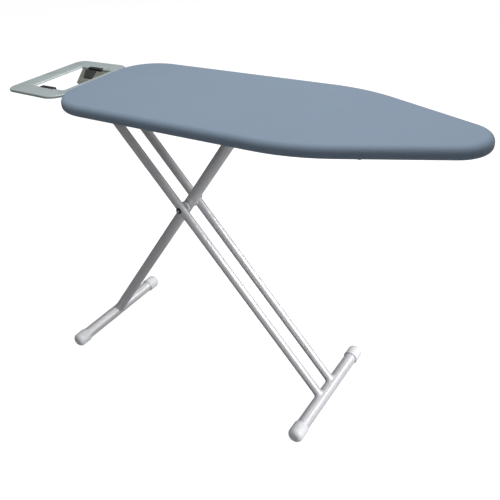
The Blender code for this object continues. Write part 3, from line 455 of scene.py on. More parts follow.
def close_seams(piece, distance=MERGE):
    edit(piece, "VERT")
    bpy.ops.mesh.select_all(action="SELECT")
    bpy.ops.mesh.remove_doubles(threshold=distance)
    bpy.ops.mesh.normals_make_consistent(inside=False)
    leave_edit()


def rename(piece, name):
    piece.name = name
    piece.data.name = name
    return piece


def shaped_grid(name, columns, rows, place, flat=None):
    """A grid primitive whose point (column, row) goes to place(column, row), with its seams closed.

    Where flat gives each point's place on the cloth's flat pattern, in metres, it becomes the UV map.
    """
    pick()
    bpy.ops.mesh.primitive_grid_add(x_subdivisions=columns, y_subdivisions=rows, size=2)
    made = rename(bpy.context.object, name)
    keys = []
    for point in made.data.vertices:
        key = (round((point.co.x + 1) / 2 * columns), round((point.co.y + 1) / 2 * rows))
        keys.append(key)
        point.co = place(*key)
    if flat:
        pattern = made.data.uv_layers.active.data
        for loop in made.data.loops:
            pattern[loop.index].uv = flat[keys[loop.vertex_index]]
    close_seams(made)
    return made


def turned(name, profile, start, direction, sides=ROUND):
    """Turn (radius, distance) points round a line."""
    lean = direction.normalized().to_track_quat("Z", "Y")

    def place(column, row):
        radius, distance = profile[row]
        angle = 2 * math.pi * column / sides
        return start + lean @ Vector((radius * math.cos(angle), radius * math.sin(angle), distance))

    return shaped_grid(name, sides, len(profile) - 1, place)


def turned_node(node, finish, profile, start, direction, sides=ROUND):
    """A turned piece in place of a CAD node, on that node's body."""
    piece = turned(f"{node}_finished", profile, start, direction, sides)
    return finish_piece(piece, finish, body_of(node), [node])


def bar(name, start, end, radius, edge=0.0006, sides=ROUND):
    """A round bar or closed tube with slightly broken end edges."""
    length = (end - start).length
    profile = [(0, 0), (radius - edge, 0), (radius, edge)]
    profile += [(radius, length - edge), (radius - edge, length), (0, length)]
    return turned(name, profile, start, end - start, sides)


def block(name, low, high):
    """A box primitive between two corners."""
    pick()
    bpy.ops.mesh.primitive_cube_add(size=1, location=(low + high) / 2, scale=high - low)
    bpy.ops.object.transform_apply(location=True, rotation=True, scale=True)
    return rename(bpy.context.object, name)


def apply_modifier(piece, kind, label, **options):
    modifier = piece.modifiers.new(label, kind)
    for option, value in options.items():
        setattr(modifier, option, value)
    pick(piece)
    bpy.ops.object.modifier_apply(modifier=modifier.name)


def break_edges(piece, width, segments=2, angle=30):
    apply_modifier(
        piece,
        "BEVEL",
        "broken edges",
        width=width,
        segments=segments,
        limit_method="ANGLE",
        angle_limit=math.radians(angle),
    )


def cut_away(piece, cutter):
    apply_modifier(piece, "BOOLEAN", "cut", operation="DIFFERENCE", solver="EXACT", object=cutter)
    bpy.data.objects.remove(cutter)


def join_to(piece, others):
    """Join other pieces into one, keeping its name."""
    name = piece.name
    pick(piece, *others)
    bpy.ops.object.join()
    return rename(bpy.context.object, name)


def copy_of(node, name):
    """A merged copy of a CAD node, with the flat faces' inner edges dissolved."""
    source = frame["nodes"][node]
    made = bpy.data.objects.new(name, source.data.copy())
    bpy.context.scene.collection.objects.link(made)
    made.data.materials.clear()
    edit(made, "VERT")
    bpy.ops.mesh.select_all(action="SELECT")
    bpy.ops.mesh.remove_doubles(threshold=0.00001)
    bpy.ops.mesh.dissolve_limited(angle_limit=math.radians(0.5))
    leave_edit()
    return made


def finish_piece(piece, finish, body, nodes=(), smooth=SMOOTH_ANGLE):
    """Shade a piece, give it its finish, and hang it on its body in place of its CAD nodes."""
    pick(piece)
    bpy.ops.object.shade_smooth_by_angle(angle=smooth)
    piece.data.materials.clear()
    piece.data.materials.append(finish_named(finish))
    if nodes:
        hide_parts(*nodes)
    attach(piece, body)
    return piece


def refine(node, finish, width=0.0004, segments=2):
    """A CAD node with its edges broken, in its finish."""
    piece = copy_of(node, f"{node}_finished")
    if width:
        break_edges(piece, width, segments)
    return finish_piece(piece, finish, body_of(node), [node])


def quarter_angles(steps):
    """Angles from 0 to a quarter turn in even steps, both ends included."""
    return [QUARTER * index / steps for index in range(steps + 1)]


def arc(centre_x, centre_y, radius_x, radius_y, first, last, steps):
    """Points along an ellipse's arc, angles in radians, both ends included."""
    angles = [first + (last - first) * index / steps for index in range(steps + 1)]
    return [(centre_x + radius_x * math.cos(a), centre_y + radius_y * math.sin(a)) for a in angles]


# ---------------------------------------------------------------- board outline
def board_half(fine):
    """The far half of the board's outline from tail to nose, with fine steps to each arc."""
    shape = board()
    shoulder = Vector((NOSE_X - shape.taper_length, HALF_WIDTH - shape.shoulder_radius))
    nose = Vector((NOSE_X - shape.nose_radius, 0))
    between = nose - shoulder
    lean = math.acos((shape.shoulder_radius - shape.nose_radius) / between.length)
    normal = math.atan2(between.y, between.x) + lean
    points = arc(
        TAIL_X + shape.tail_corner_length,
        HALF_WIDTH - shape.tail_corner_width,
        shape.tail_corner_length,
        shape.tail_corner_width,
        math.pi,
        QUARTER,
        fine,
    )
    radius = shape.shoulder_radius
    points += arc(shoulder.x, shoulder.y, radius, radius, QUARTER, normal, fine)
    points += arc(nose.x, nose.y, shape.nose_radius, shape.nose_radius, normal, 0, fine)
    return points


def even_outline(count):
    """Points evenly spaced round the outline, the outward normal and the bend at each, and its length."""
    far = board_half(160)
    near = [(x, -y) for x, y in far[:-1]]
    loop = np.array(near + far[::-1])
    loop = np.vstack([loop, loop[:1]])
    steps = np.linalg.norm(np.diff(loop, axis=0), axis=1)
    along = np.concatenate([[0], np.cumsum(steps)])
    wanted = np.arange(count) * along[-1] / count
    points = np.stack([np.interp(wanted, along, loop[:, axis]) for axis in (0, 1)], axis=1)
    beside, apart, smoothed = 3, 6, 15
    tangent = np.roll(points, -beside, axis=0) - np.roll(points, beside, axis=0)
    tangent /= np.linalg.norm(tangent, axis=1)[:, None]
    normal = np.stack([tangent[:, 1], -tangent[:, 0]], axis=1)
    turn = np.roll(normal, -apart, axis=0) - np.roll(normal, apart, axis=0)
    bend = np.linalg.norm(turn, axis=1) / (2 * apart * along[-1] / count)
    window = np.hanning(2 * smoothed + 1)
    window /= window.sum()
    bend = np.convolve(np.concatenate([bend[-smoothed:], bend, bend[:smoothed]]), window, "valid")
    return points, normal, bend, along[-1]


# ---------------------------------------------------------------- cover and pad
COVER_COLUMNS = 1000
TOP_ROWS = 12


def cover_section():
    """Rows of the cover from its upper edge to the casing: (inset, height, kind of row)."""
    shape = board()
    rows = []
    roll = shape.edge_roll
    for angle in quarter_angles(8):
        rows.append((roll - roll * math.sin(angle), BOARD_TOP - roll + roll * math.cos(angle), "edge"))
    low = shape.lower_roll
    side_top = BOARD_TOP - roll
    side_end = BOARD_BOTTOM + low
    side_steps = 4
    for index in range(1, side_steps):
        rows.append((0.0, side_top + (side_end - side_top) * index / side_steps, "side"))
    for angle in quarter_angles(5):
        rows.append((low - low * math.cos(angle), side_end - low * math.sin(angle), "turn"))
    reach = shape.hem_width - low
    hem_steps = 10
    for index in range(1, hem_steps + 1):
        rows.append((low + reach * index / hem_steps, BOARD_BOTTOM, "hem"))
    radius = shape.casing_radius
    centre = shape.hem_width + radius
    casing_turn, casing_steps = math.radians(290), 8
    for index in range(1, casing_steps + 1):
        angle = -QUARTER + casing_turn * index / casing_steps
        inset = centre + radius * math.cos(angle)
        rows.append((inset, BOARD_BOTTOM + radius + radius * math.sin(angle), "casing"))
    return rows


def gather_wave(distance):
    """Uneven folds along the hem, from -1 to 1, at a distance round the board."""
    spacing = 0.0105
    drift = noise.noise(Vector((distance * 16.0, 3.0, 0.0))) * 1.6
    size = 0.65 + 0.35 * noise.noise(Vector((distance * 40.0, 12.0, 0.0)))
    return math.sin(2 * math.pi * distance / spacing + drift * 2.4) * size


def make_cover_mesh():
    """The cover as one cloth, and how far its edge lies outside the outline on the flat pattern."""
    shape = board()
    points, normals, bend, around = even_outline(COVER_COLUMNS)
    section = cover_section()
    spine_low = TAIL_X + 0.20
    spine_high = NOSE_X - 0.13
    path = [0.0]
    for (inset0, z0, _), (inset1, z1, _) in zip(section, section[1:]):
        path.append(path[-1] + math.hypot(inset1 - inset0, z1 - z0))
    hem_start = path[[kind for _, _, kind in section].index("hem")]
    full_bend = 1 / shape.nose_radius
    rows = TOP_ROWS + len(section) - 1
    arm_low, arm_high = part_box("far_rest_arm")
    beside_arm = 0.012
    flat = {}

    def place(column, row):
        at = column % COVER_COLUMNS
        x, y = points[at]
        nx, ny = normals[at]
        if row < TOP_ROWS:
            share = row / TOP_ROWS
            edge_x = x - nx * shape.edge_roll
            edge_y = y - ny * shape.edge_roll
            spine = min(max(edge_x, spine_low), spine_high)
            top_x = spine + (edge_x - spine) * share
            top_y = edge_y * share
            lift = shape.crown * (1 - share**4)
            ripple = 0.00025 * noise.noise(Vector((top_x * 9, top_y * 11, 0.3))) * (1 - share**6)
            flat[(column, row)] = (top_x, top_y)
            return Vector((top_x, top_y, BOARD_TOP + lift * 0.5 + ripple))
        inset, z, kind = section[row - TOP_ROWS]
        beyond = path[row - TOP_ROWS] - shape.edge_roll
        flat[(column, row)] = (x + nx * beyond, y + ny * beyond)
        distance = around * at / COVER_COLUMNS
        fullness = 0.30 + 0.70 * min(1.0, bend[at] / full_bend)
        under = max(0.0, (path[row - TOP_ROWS] - hem_start) / (path[-1] - hem_start))
        on_arm = x < arm_high.x and arm_low.y - beside_arm < abs(y) < arm_high.y + beside_arm
        pressed = 0.12 if on_arm else 1.0
        wave = gather_wave(distance)
        if kind in ("hem", "casing"):
            depth = shape.gather_depth * fullness * pressed * min(1.0, under * 1.5)
            z += wave * depth * (0.8 if kind == "hem" else 0.45) - 0.0006 * pressed
            inset += 0.0016 * fullness * noise.noise(Vector((distance * 22.0, 5.0, 0.0)))
        return Vector((x - nx * inset, y - ny * inset, z))

    made = shaped_grid("cover_sewn", COVER_COLUMNS, rows, place, flat)
    apply_modifier(made, "SOLIDIFY", "cloth", thickness=shape.cloth, offset=-1)
    return made, path[-1] - shape.edge_roll


def make_stitches(name, inset, z, pitch, length, radius):
    """A row of stitches round the hem, at an inset from the board's edge."""
    points, normals, _, around = even_outline(COVER_COLUMNS)
    pick()
    bpy.ops.mesh.primitive_uv_sphere_add(segments=6, ring_count=5, radius=1)
    bead = bpy.context.object
    corners = np.array([point.co for point in bead.data.vertices])
    faces = [list(face.vertices) for face in bead.data.polygons]
    bpy.data.objects.remove(bead)
    count = int(around / pitch)
    all_corners = []
    all_faces = []
    for index in range(count):
        at = index / count * COVER_COLUMNS
        low = int(at)
        share = at - low
        high = (low + 1) % COVER_COLUMNS
        middle = points[low] * (1 - share) + points[high] * share - normals[low] * inset
        nx, ny = normals[low]
        along = corners[:, :1] * length / 2
        across = corners[:, 1:2] * radius
        placed = np.zeros_like(corners)
        placed[:, 0] = (middle[0] - ny * along + nx * across)[:, 0]
        placed[:, 1] = (middle[1] + nx * along + ny * across)[:, 0]
        wave = gather_wave(around * at / COVER_COLUMNS)
        placed[:, 2] = z + wave * 0.0002 + corners[:, 2] * radius
        shift = len(all_corners) * len(corners)
        all_corners.append(placed)
        all_faces += [[corner + shift for corner in face] for face in faces]
    mesh = bpy.data.meshes.new(name)
    mesh.from_pydata(np.concatenate(all_corners).tolist(), [], all_faces)
    made = bpy.data.objects.new(name, mesh)
    bpy.context.scene.collection.objects.link(made)
    return made


def swell(piece, frames, cap):
    """Let a pad swell as cloth under pressure, each point by at most cap, and keep the result."""
    before = np.array([point.co for point in piece.data.vertices])
    pick(piece)
    cloth = piece.modifiers.new("swell", "CLOTH")
    settings = cloth.settings
    settings.use_pressure = True
    settings.uniform_pressure_force = 4.0
    settings.effector_weights.gravity = 0.0
    settings.quality = 4
    cloth.collision_settings.use_collision = False
    cloth.point_cache.frame_start = 1
    cloth.point_cache.frame_end = frames
    scene = bpy.context.scene
    for number in range(1, frames + 1):
        scene.frame_set(number)
    grown = piece.evaluated_get(bpy.context.evaluated_depsgraph_get())
    after = np.array([point.co for point in grown.data.vertices])
    piece.modifiers.remove(cloth)
    scene.frame_set(1)
    shift = after - before
    reach = np.linalg.norm(shift, axis=1)[:, None]
    shift *= np.minimum(1.0, cap / np.maximum(reach, 1e-9))
    piece.data.vertices.foreach_set("co", (before + shift).astype(np.float32).ravel())
    piece.data.update()


class BOARD_OT_cover(bpy.types.Operator):
    """Make the cotton cover with its gathered hem and the stitching of its casing."""

    bl_idname = "ironing_board.cover"
    bl_label = "Cover"

    def execute(self, context):
        cover, margin = make_cover_mesh()
        finish_piece(cover, "cover", "board", ["cover"], SOFT_ANGLE)
        stitches = make_stitches(
            "cover_stitches",
            inset=board().hem_width - 0.0012,
            z=BOARD_BOTTOM - 0.0009,
            pitch=0.0036,
            length=0.0026,
            radius=0.00030,
        )
        finish_piece(stitches, "thread", "board", smooth=math.pi)
        return {"FINISHED"}


def tuck_under_cover(piece):
    """Pull a pad's upper edge in, so that it stays under the cover's roll."""
    shape = board()
    outline = even_outline(COVER_COLUMNS)[0]
    reach = shape.edge_roll - 2.5 * shape.cloth
    centre_z = BOARD_TOP - shape.edge_roll
    for point in piece.data.vertices:
        if point.co.z < centre_z:
            continue
        away = outline - np.array([point.co.x, point.co.y])
        distance = np.hypot(away[:, 0], away[:, 1])
        nearest = int(distance.argmin())
        aside = shape.edge_roll - distance[nearest]
        if aside <= 0:
            continue
        out = math.hypot(aside, point.co.z - centre_z)
        if out > reach:
            inward = -away[nearest] / distance[nearest] * aside * (1 - reach / out)
            point.co.x += inward[0]
            point.co.y += inward[1]
            point.co.z = centre_z + (point.co.z - centre_z) * reach / out


class BOARD_OT_pad(bpy.types.Operator):
    """Make the felt pad under the cover."""

    bl_idname = "ironing_board.pad"
    bl_label = "Pad"

    def execute(self, context):
        pad = copy_of("foam_pad", "foam_pad_felt")
        apply_modifier(pad, "REMESH", "even mesh", mode="VOXEL", voxel_size=0.006)
        swell(pad, 16, 0.0006)
        tuck_under_cover(pad)
        finish_piece(pad, "felt", "board", ["foam_pad"], math.radians(60))
        return {"FINISHED"}


# ---------------------------------------------------------------- steel top and frame
class BOARD_OT_mesh_top(bpy.types.Operator):
    """Make the expanded steel mesh that carries the pad."""

    bl_idname = "ironing_board.mesh_top"
    bl_label = "Mesh top"

    def execute(self, context):
        shape = board()
        low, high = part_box("top_panel")
        cells = 82  # enough for the turned sheet to reach past the board's corners
        pick()
        bpy.ops.mesh.primitive_grid_add(x_subdivisions=cells, y_subdivisions=cells, size=cells)
        panel = rename(bpy.context.object, "mesh_top")
        edit(panel)
        bpy.ops.mesh.select_all(action="SELECT")
        bpy.ops.transform.rotate(value=math.pi / 4, orient_axis="Z", center_override=(0, 0, 0))
        bpy.ops.transform.resize(
            value=(shape.mesh_length / math.sqrt(2), shape.mesh_width / math.sqrt(2), 1),
            center_override=(0, 0, 0),
        )
        leave_edit()
        middle = Vector(((TAIL_X + NOSE_X) / 2, 0, (low.z + high.z) / 2))
        for point in panel.data.vertices:
            point.co += middle
        self.trim(panel, 0.004)
        apply_modifier(
            panel,
            "WIREFRAME",
            "strands",
            thickness=shape.strand,
            use_even_offset=False,
            use_boundary=True,
            use_replace=True,
        )
        self.flatten(panel, middle.z, high.z - low.z)
        finish_piece(panel, "mesh", "board", ["top_panel"])
        return {"FINISHED"}

    def trim(self, panel, inset):
        """Cut the sheet to the board's outline, drawn in by inset, with a straight cut for each stretch."""
        far = board_half(14)
        outline = far + [(x, -y) for x, y in far[::-1]]
        edit(panel)
        for (x0, y0), (x1, y1) in zip(outline, outline[1:] + outline[:1]):
            along = Vector((x1 - x0, y1 - y0, 0))
            if along.length < MERGE:
                continue
            outward = Vector((-along.y, along.x, 0)).normalized()
            place = Vector((x0, y0, 0)) - outward * inset
            bpy.ops.mesh.select_all(action="SELECT")
            bpy.ops.mesh.bisect(plane_co=place, plane_no=outward, clear_outer=True)
        bpy.ops.mesh.select_all(action="SELECT")
        shortest_strand = 0.0016
        bpy.ops.mesh.remove_doubles(threshold=shortest_strand)
        bpy.ops.mesh.delete_loose()
        leave_edit()

    def flatten(self, panel, middle_z, thickness):
        """Roll the strands down to the sheet's own thickness."""
        heights = [point.co.z for point in panel.data.vertices]
        share = thickness / (max(heights) - min(heights))
        for point in panel.data.vertices:
            point.co.z = middle_z + (point.co.z - middle_z) * share


class BOARD_OT_frame(bpy.types.Operator):
    """Finish the edge frame, ribs, rails and brackets under the board."""

    bl_idname = "ironing_board.frame"
    bl_label = "Frame"

    def execute(self, context):
        refine("edge_frame", "frame", width=0.0003, segments=1)
        for node in ("tail_rib", "mid_rib", "nose_rib"):
            refine(node, "frame")
        for _, word in SIDES:
            refine(f"{word}_guide_rail", "frame")
            refine(f"{word}_hinge_bracket", "frame")
            refine(f"{word}_rack_bracket", "frame")
        return {"FINISHED"}


class BOARD_OT_rivets(bpy.types.Operator):
    """Make the domed rivets that hold the rails, brackets and rest arms."""

    bl_idname = "ironing_board.rivets"
    bl_label = "Rivets"

    def execute(self, context):
        for node in sorted(name for name in frame["nodes"] if "_rivet" in name):
            self.rivet(node)
        return {"FINISHED"}

    def rivet(self, node):
        """A round head below, a shank, and a hammered tail with a hollow in it."""
        low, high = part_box(node)
        middle = middle_of(node)
        head = (high.x - low.x) / 2
        shank = head / 2
        tail = head * 0.78
        tall = high.z - low.z
        dome = 0.0012
        edge = 0.0002
        profile = [(head * math.sin(a), dome * (1 - math.cos(a))) for a in quarter_angles(5)]
        profile += [(head * 0.98, dome + edge), (shank, dome + edge)]
        profile += [(shank, tall - dome), (tail, tall - dome), (tail, tall - dome * 0.4)]
        profile += [(head * 0.6, tall), (head * 0.25, tall - edge), (0, tall - edge * 1.5)]
        turned_node(node, "zinc", profile, Vector((middle.x, middle.y, low.z)), UP, SMALL_ROUND)


# ---------------------------------------------------------------- legs
def weld_fillet(name, centre, direction, tube, across, width):
    """The fillet of a weld where a tube of one radius runs into a bar that lies across the board."""
    side = direction.cross(ACROSS).normalized()
    columns, rows = 72, 6
    beads, bead_height = 23, 0.00018

    def on_both(angle, radius):
        """A point on the bar, at that radius from the tube's own line."""
        flat = radius * math.cos(angle)
        rise = math.sqrt(max(across**2 - flat**2, 0.0))
        return centre + side * flat + ACROSS * radius * math.sin(angle) - direction * rise

    def place(column, row):
        angle = 2 * math.pi * column / columns
        foot = on_both(angle, tube + width)
        corner = on_both(angle, tube)
        head = corner - direction * width
        share = row / rows
        ripple = bead_height * math.sin(angle * beads + row) * math.sin(math.pi * share)
        bent = foot * (1 - share) ** 2 + corner * 2 * share * (1 - share) + head * share**2
        return bent + (bent - centre).normalized() * (ripple + 0.0001)

    return shaped_grid(name, columns, rows, place)


class BOARD_OT_twin_leg(bpy.types.Operator):
    """Make the leg of two tubes, with its hinge sleeve and welds."""

    bl_idname = "ironing_board.twin_leg"
    bl_label = "Twin leg"
    top_weld = 0.0028
    foot_weld = 0.0060

    def execute(self, context):
        down = (NOSE_FOOT - HINGE).normalized()
        sleeve_radius = size_of("hinge_sleeve").z / 2
        for side, word in SIDES:
            shift = ACROSS * side * TWIN_Y
            node = f"{word}_twin_tube"
            tube = bar(f"{node}_finished", HINGE + shift, NOSE_FOOT + shift, TWIN_RADIUS)
            top = weld_fillet("upper", HINGE + shift, -down, TWIN_RADIUS, sleeve_radius, self.top_weld)
            foot = weld_fillet("lower", NOSE_FOOT + shift, down, TWIN_RADIUS, FOOT_RADIUS, self.foot_weld)
            tube = join_to(tube, [top, foot])
            finish_piece(tube, "legs", "leg_a", [node])
        self.sleeve(sleeve_radius, size_of("hinge_rod").z / 2 * 0.6)
        return {"FINISHED"}

    def sleeve(self, outer, inner):
        """The cross tube at the leg's top, with both ends' outer edges broken."""
        low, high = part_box("hinge_sleeve")
        half = (high.y - low.y) / 2
        broken = 0.0006
        profile = [(inner, -half), (outer - broken, -half), (outer, -half + broken)]
        profile += [(outer, half - broken), (outer - broken, half), (inner, half), (inner, -half)]
        turned_node("hinge_sleeve", "legs", profile, (low + high) / 2, ACROSS)


class BOARD_OT_single_leg(bpy.types.Operator):
    """Make the middle leg, the plug in its top and its weld."""

    bl_idname = "ironing_board.single_leg"
    bl_label = "Single leg"

    def execute(self, context):
        down = (TAIL_FOOT - CROSS_ROD).normalized()
        overrun = 0.014
        weld_width = 0.0030
        top = CROSS_ROD - down * overrun
        tube = bar("single_leg_tube_finished", top, TAIL_FOOT, SINGLE_RADIUS)
        weld = weld_fillet("weld", TAIL_FOOT, down, SINGLE_RADIUS, FOOT_RADIUS, weld_width)
        finish_piece(join_to(tube, [weld]), "legs", "leg_b", ["single_leg_tube"])
        self.plug(top, -down, SINGLE_RADIUS)
        return {"FINISHED"}

    def plug(self, start, direction, radius):
        """The low dome that closes the tube's top."""
        profile = [(0, 0), (radius, 0.0001), (radius, 0.0012), (radius * 0.97, 0.0020)]
        profile += [(radius * 0.80, 0.0026), (radius * 0.4, 0.0029), (0, 0.0030)]
        turned_node("single_leg_plug", "rubber", profile, start, direction)


class BOARD_OT_pivot(bpy.types.Operator):
    """Make the bolt, nut and spacers where the legs cross."""

    bl_idname = "ironing_board.pivot"
    bl_label = "Crossing bolt"

    def execute(self, context):
        self.bolt()
        self.nut()
        for side, word in SIDES:
            self.spacer(f"{word}_pivot_spacer", side)
        return {"FINISHED"}

    def bolt(self):
        """The bolt, whose domed light zinc core is a painted highlight in the middle of the dark head, and
        the dark ring round it that makes the head whole.
        """
        low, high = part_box("pivot_bolt")
        head = (high.z - low.z) / 2
        shank = 0.004
        centre = Vector((PIVOT.x, 0, PIVOT.z))
        under_head = -TWIN_Y - TWIN_RADIUS - 0.0003
        tall = under_head - low.y
        # The light zinc core stands where the dark head shows its highlight: a painted highlight.
        highlight_core = head * 0.46
        profile = [(0, low.y), (highlight_core * 0.7, low.y + tall * 0.06), (highlight_core, low.y + tall * 0.3)]
        profile += [(highlight_core, under_head), (shank, under_head)]
        profile += [(shank, high.y - 0.0008), (shank - 0.0008, high.y), (0, high.y)]
        turned_node("pivot_bolt", "zinc", profile, centre, ACROSS, SMALL_ROUND)
        inner = highlight_core + 0.0001
        shoulder = inner + 0.0006
        profile = [(inner, low.y + tall * 0.35)]
        for angle in quarter_angles(6):
            across = shoulder + (head - shoulder) * math.sin(angle)
            profile.append((across, low.y + tall * (0.2 + 0.6 * (1 - math.cos(angle)))))
        profile += [(head, under_head), (inner, under_head), (inner, low.y + tall * 0.35)]
        ring = turned("pivot_bolt_ring", profile, centre, ACROSS, SMALL_ROUND)
        finish_piece(ring, "bolt", "leg_a")

    def nut(self):
        low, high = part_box("pivot_nut")
        pick()
        bpy.ops.mesh.primitive_cylinder_add(
            vertices=6,
            radius=(high.x - low.x) / 2,
            depth=high.y - low.y,
            location=(low + high) / 2,
            rotation=(QUARTER, 0, 0),
        )
        bpy.ops.object.transform_apply(location=True, rotation=True, scale=True)
        nut = rename(bpy.context.object, "pivot_nut_finished")
        break_edges(nut, 0.0006, 3)
        finish_piece(nut, "zinc", "leg_a", ["pivot_nut"])

    def spacer(self, node, side):
        low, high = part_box(node)
        outer = (high.z - low.z) / 2
        thick = high.y - low.y
        start = Vector((PIVOT.x, low.y if side > 0 else high.y, PIVOT.z))
        bore, bevel = 0.0043, 0.0008
        profile = [(bore, 0), (outer - bevel, 0), (outer, bevel), (outer, thick - bevel)]
        profile += [(outer - bevel, thick), (bore, thick), (bore, 0)]
        turned_node(node, "plastic", profile, start, ACROSS * side)


class BOARD_OT_feet(bpy.types.Operator):
    """Make both foot bars and their four moulded caps."""

    bl_idname = "ironing_board.feet"
    bl_label = "Feet"

    def execute(self, context):
        for end, body in (("nose", "leg_a"), ("tail", "leg_b")):
            node = f"{end}_foot_bar"
            low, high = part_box(node)
            middle = (low + high) / 2
            half = ACROSS * (high.y - low.y) / 2
            piece = bar(f"{node}_finished", middle - half, middle + half, FOOT_RADIUS)
            finish_piece(piece, "legs", body, [node])
            for side, word in SIDES:
                self.cap(f"{end}_foot_{word}_cap", side)
        return {"FINISHED"}

    def cap(self, node, side):
        """A cap with a bored mouth, a shallow groove round it and a rounded end."""
        low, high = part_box(node)
        radius = (high.z - low.z) / 2
        length = high.y - low.y
        mouth = low.y if side > 0 else high.y
        start = Vector(((low.x + high.x) / 2, mouth, (low.z + high.z) / 2))
        bore, bored = FOOT_RADIUS + 0.0004, 0.010
        groove = radius - 0.0005
        rounding = radius * 0.62
        flat = radius - rounding
        shoulder = length - 0.0015 - rounding
        profile = [(bore, bored), (bore, 0.0006), (bore + 0.0007, 0), (radius - 0.0012, 0)]
        profile += [(radius - 0.0004, 0.0005), (radius, 0.0016), (radius, 0.0060)]
        profile += [(groove, 0.0066), (groove, 0.0074), (radius, 0.0080)]
        for angle in quarter_angles(10):
            profile.append((flat + rounding * math.cos(angle), shoulder + rounding * math.sin(angle)))
        profile += [(flat * 0.5, length - 0.0004), (0, length)]
        turned_node(node, "plastic", profile, start, ACROSS * side)


# ---------------------------------------------------------------- hinge, rack and release
class BOARD_OT_rods(bpy.types.Operator):
    """Make the hinge rod, the cross rod and the rack's pin."""

    bl_idname = "ironing_board.rods"
    bl_label = "Rods"

    def execute(self, context):
        self.headed("hinge_rod", radius=0.0040, head=0.002)
        self.headed("rack_pin", radius=0.0030, head=0.0015)
        low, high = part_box("cross_rod")
        radius = (high.z - low.z) / 2
        start = Vector((CROSS_ROD.x, low.y, CROSS_ROD.z))
        end = Vector((CROSS_ROD.x, high.y, CROSS_ROD.z))
        piece = bar("cross_rod_finished", start, end, radius, 0.0008, SMALL_ROUND)
        finish_piece(piece, "zinc", "leg_b", ["cross_rod"])
        return {"FINISHED"}

    def headed(self, node, radius, head):
        """A rod with a flat head at each end."""
        low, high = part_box(node)
        half = (high.y - low.y) / 2
        wide = (high.z - low.z) / 2
        broken = head * 0.35
        near = [(0, -half), (wide - broken, -half), (wide, -half + broken), (wide, -half + head)]
        near.append((radius, -half + head))
        profile = near + [(across, -along) for across, along in near[::-1]]
        turned_node(node, "zinc", profile, (low + high) / 2, ACROSS, SMALL_ROUND)


class BOARD_OT_rack(bpy.types.Operator):
    """Finish the notched bars, the lever with its grip, the spring and the slide shoes."""

    bl_idname = "ironing_board.rack"
    bl_label = "Height rack"

    def execute(self, context):
        for node in ("near_rack_bar", "far_rack_bar", "release_lever"):
            refine(node, "zinc", 0.0003)
        self.grip()
        spring = copy_of("rack_spring", "rack_spring_finished")
        apply_modifier(spring, "SUBSURF", "round wire", levels=1, render_levels=1)
        finish_piece(spring, "zinc", "board", ["rack_spring"], SOFT_ANGLE)
        for _, word in SIDES:
            refine(f"{word}_slide_shoe", "plastic", 0)
        return {"FINISHED"}

    def grip(self):
        """The grip's block with finger ridges moulded under it."""
        low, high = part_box("lever_grip")
        grip = copy_of("lever_grip", "lever_grip_finished")
        ridges = []
        count = 6
        end_gap, sunk, radius, edge = 0.008, 0.0004, 0.0014, 0.0008
        for index in range(count):
            x = low.x + (high.x - low.x) * (index + 1) / (count + 1)
            start = Vector((x, low.y + end_gap, low.z + sunk))
            end = Vector((x, high.y - end_gap, low.z + sunk))
            ridges.append(bar(f"ridge_{index}", start, end, radius, edge, 16))
        grip = join_to(grip, ridges)
        finish_piece(grip, "rubber", "height_release", ["lever_grip"])


# ---------------------------------------------------------------- iron rest
def rest_loop(x_out, x_in, half_out, half_in, corner, board_corner, steps=12):
    """A rounded trapezium from the outer end round to the board end and back."""
    far = arc(x_out + corner, half_out - corner, corner, corner, math.pi, QUARTER, steps)
    inner = board_corner
    far += arc(x_in - inner, half_in - inner, inner, inner, QUARTER, 0, steps)
    near = [(x, -y) for x, y in far]
    return near + far[::-1]


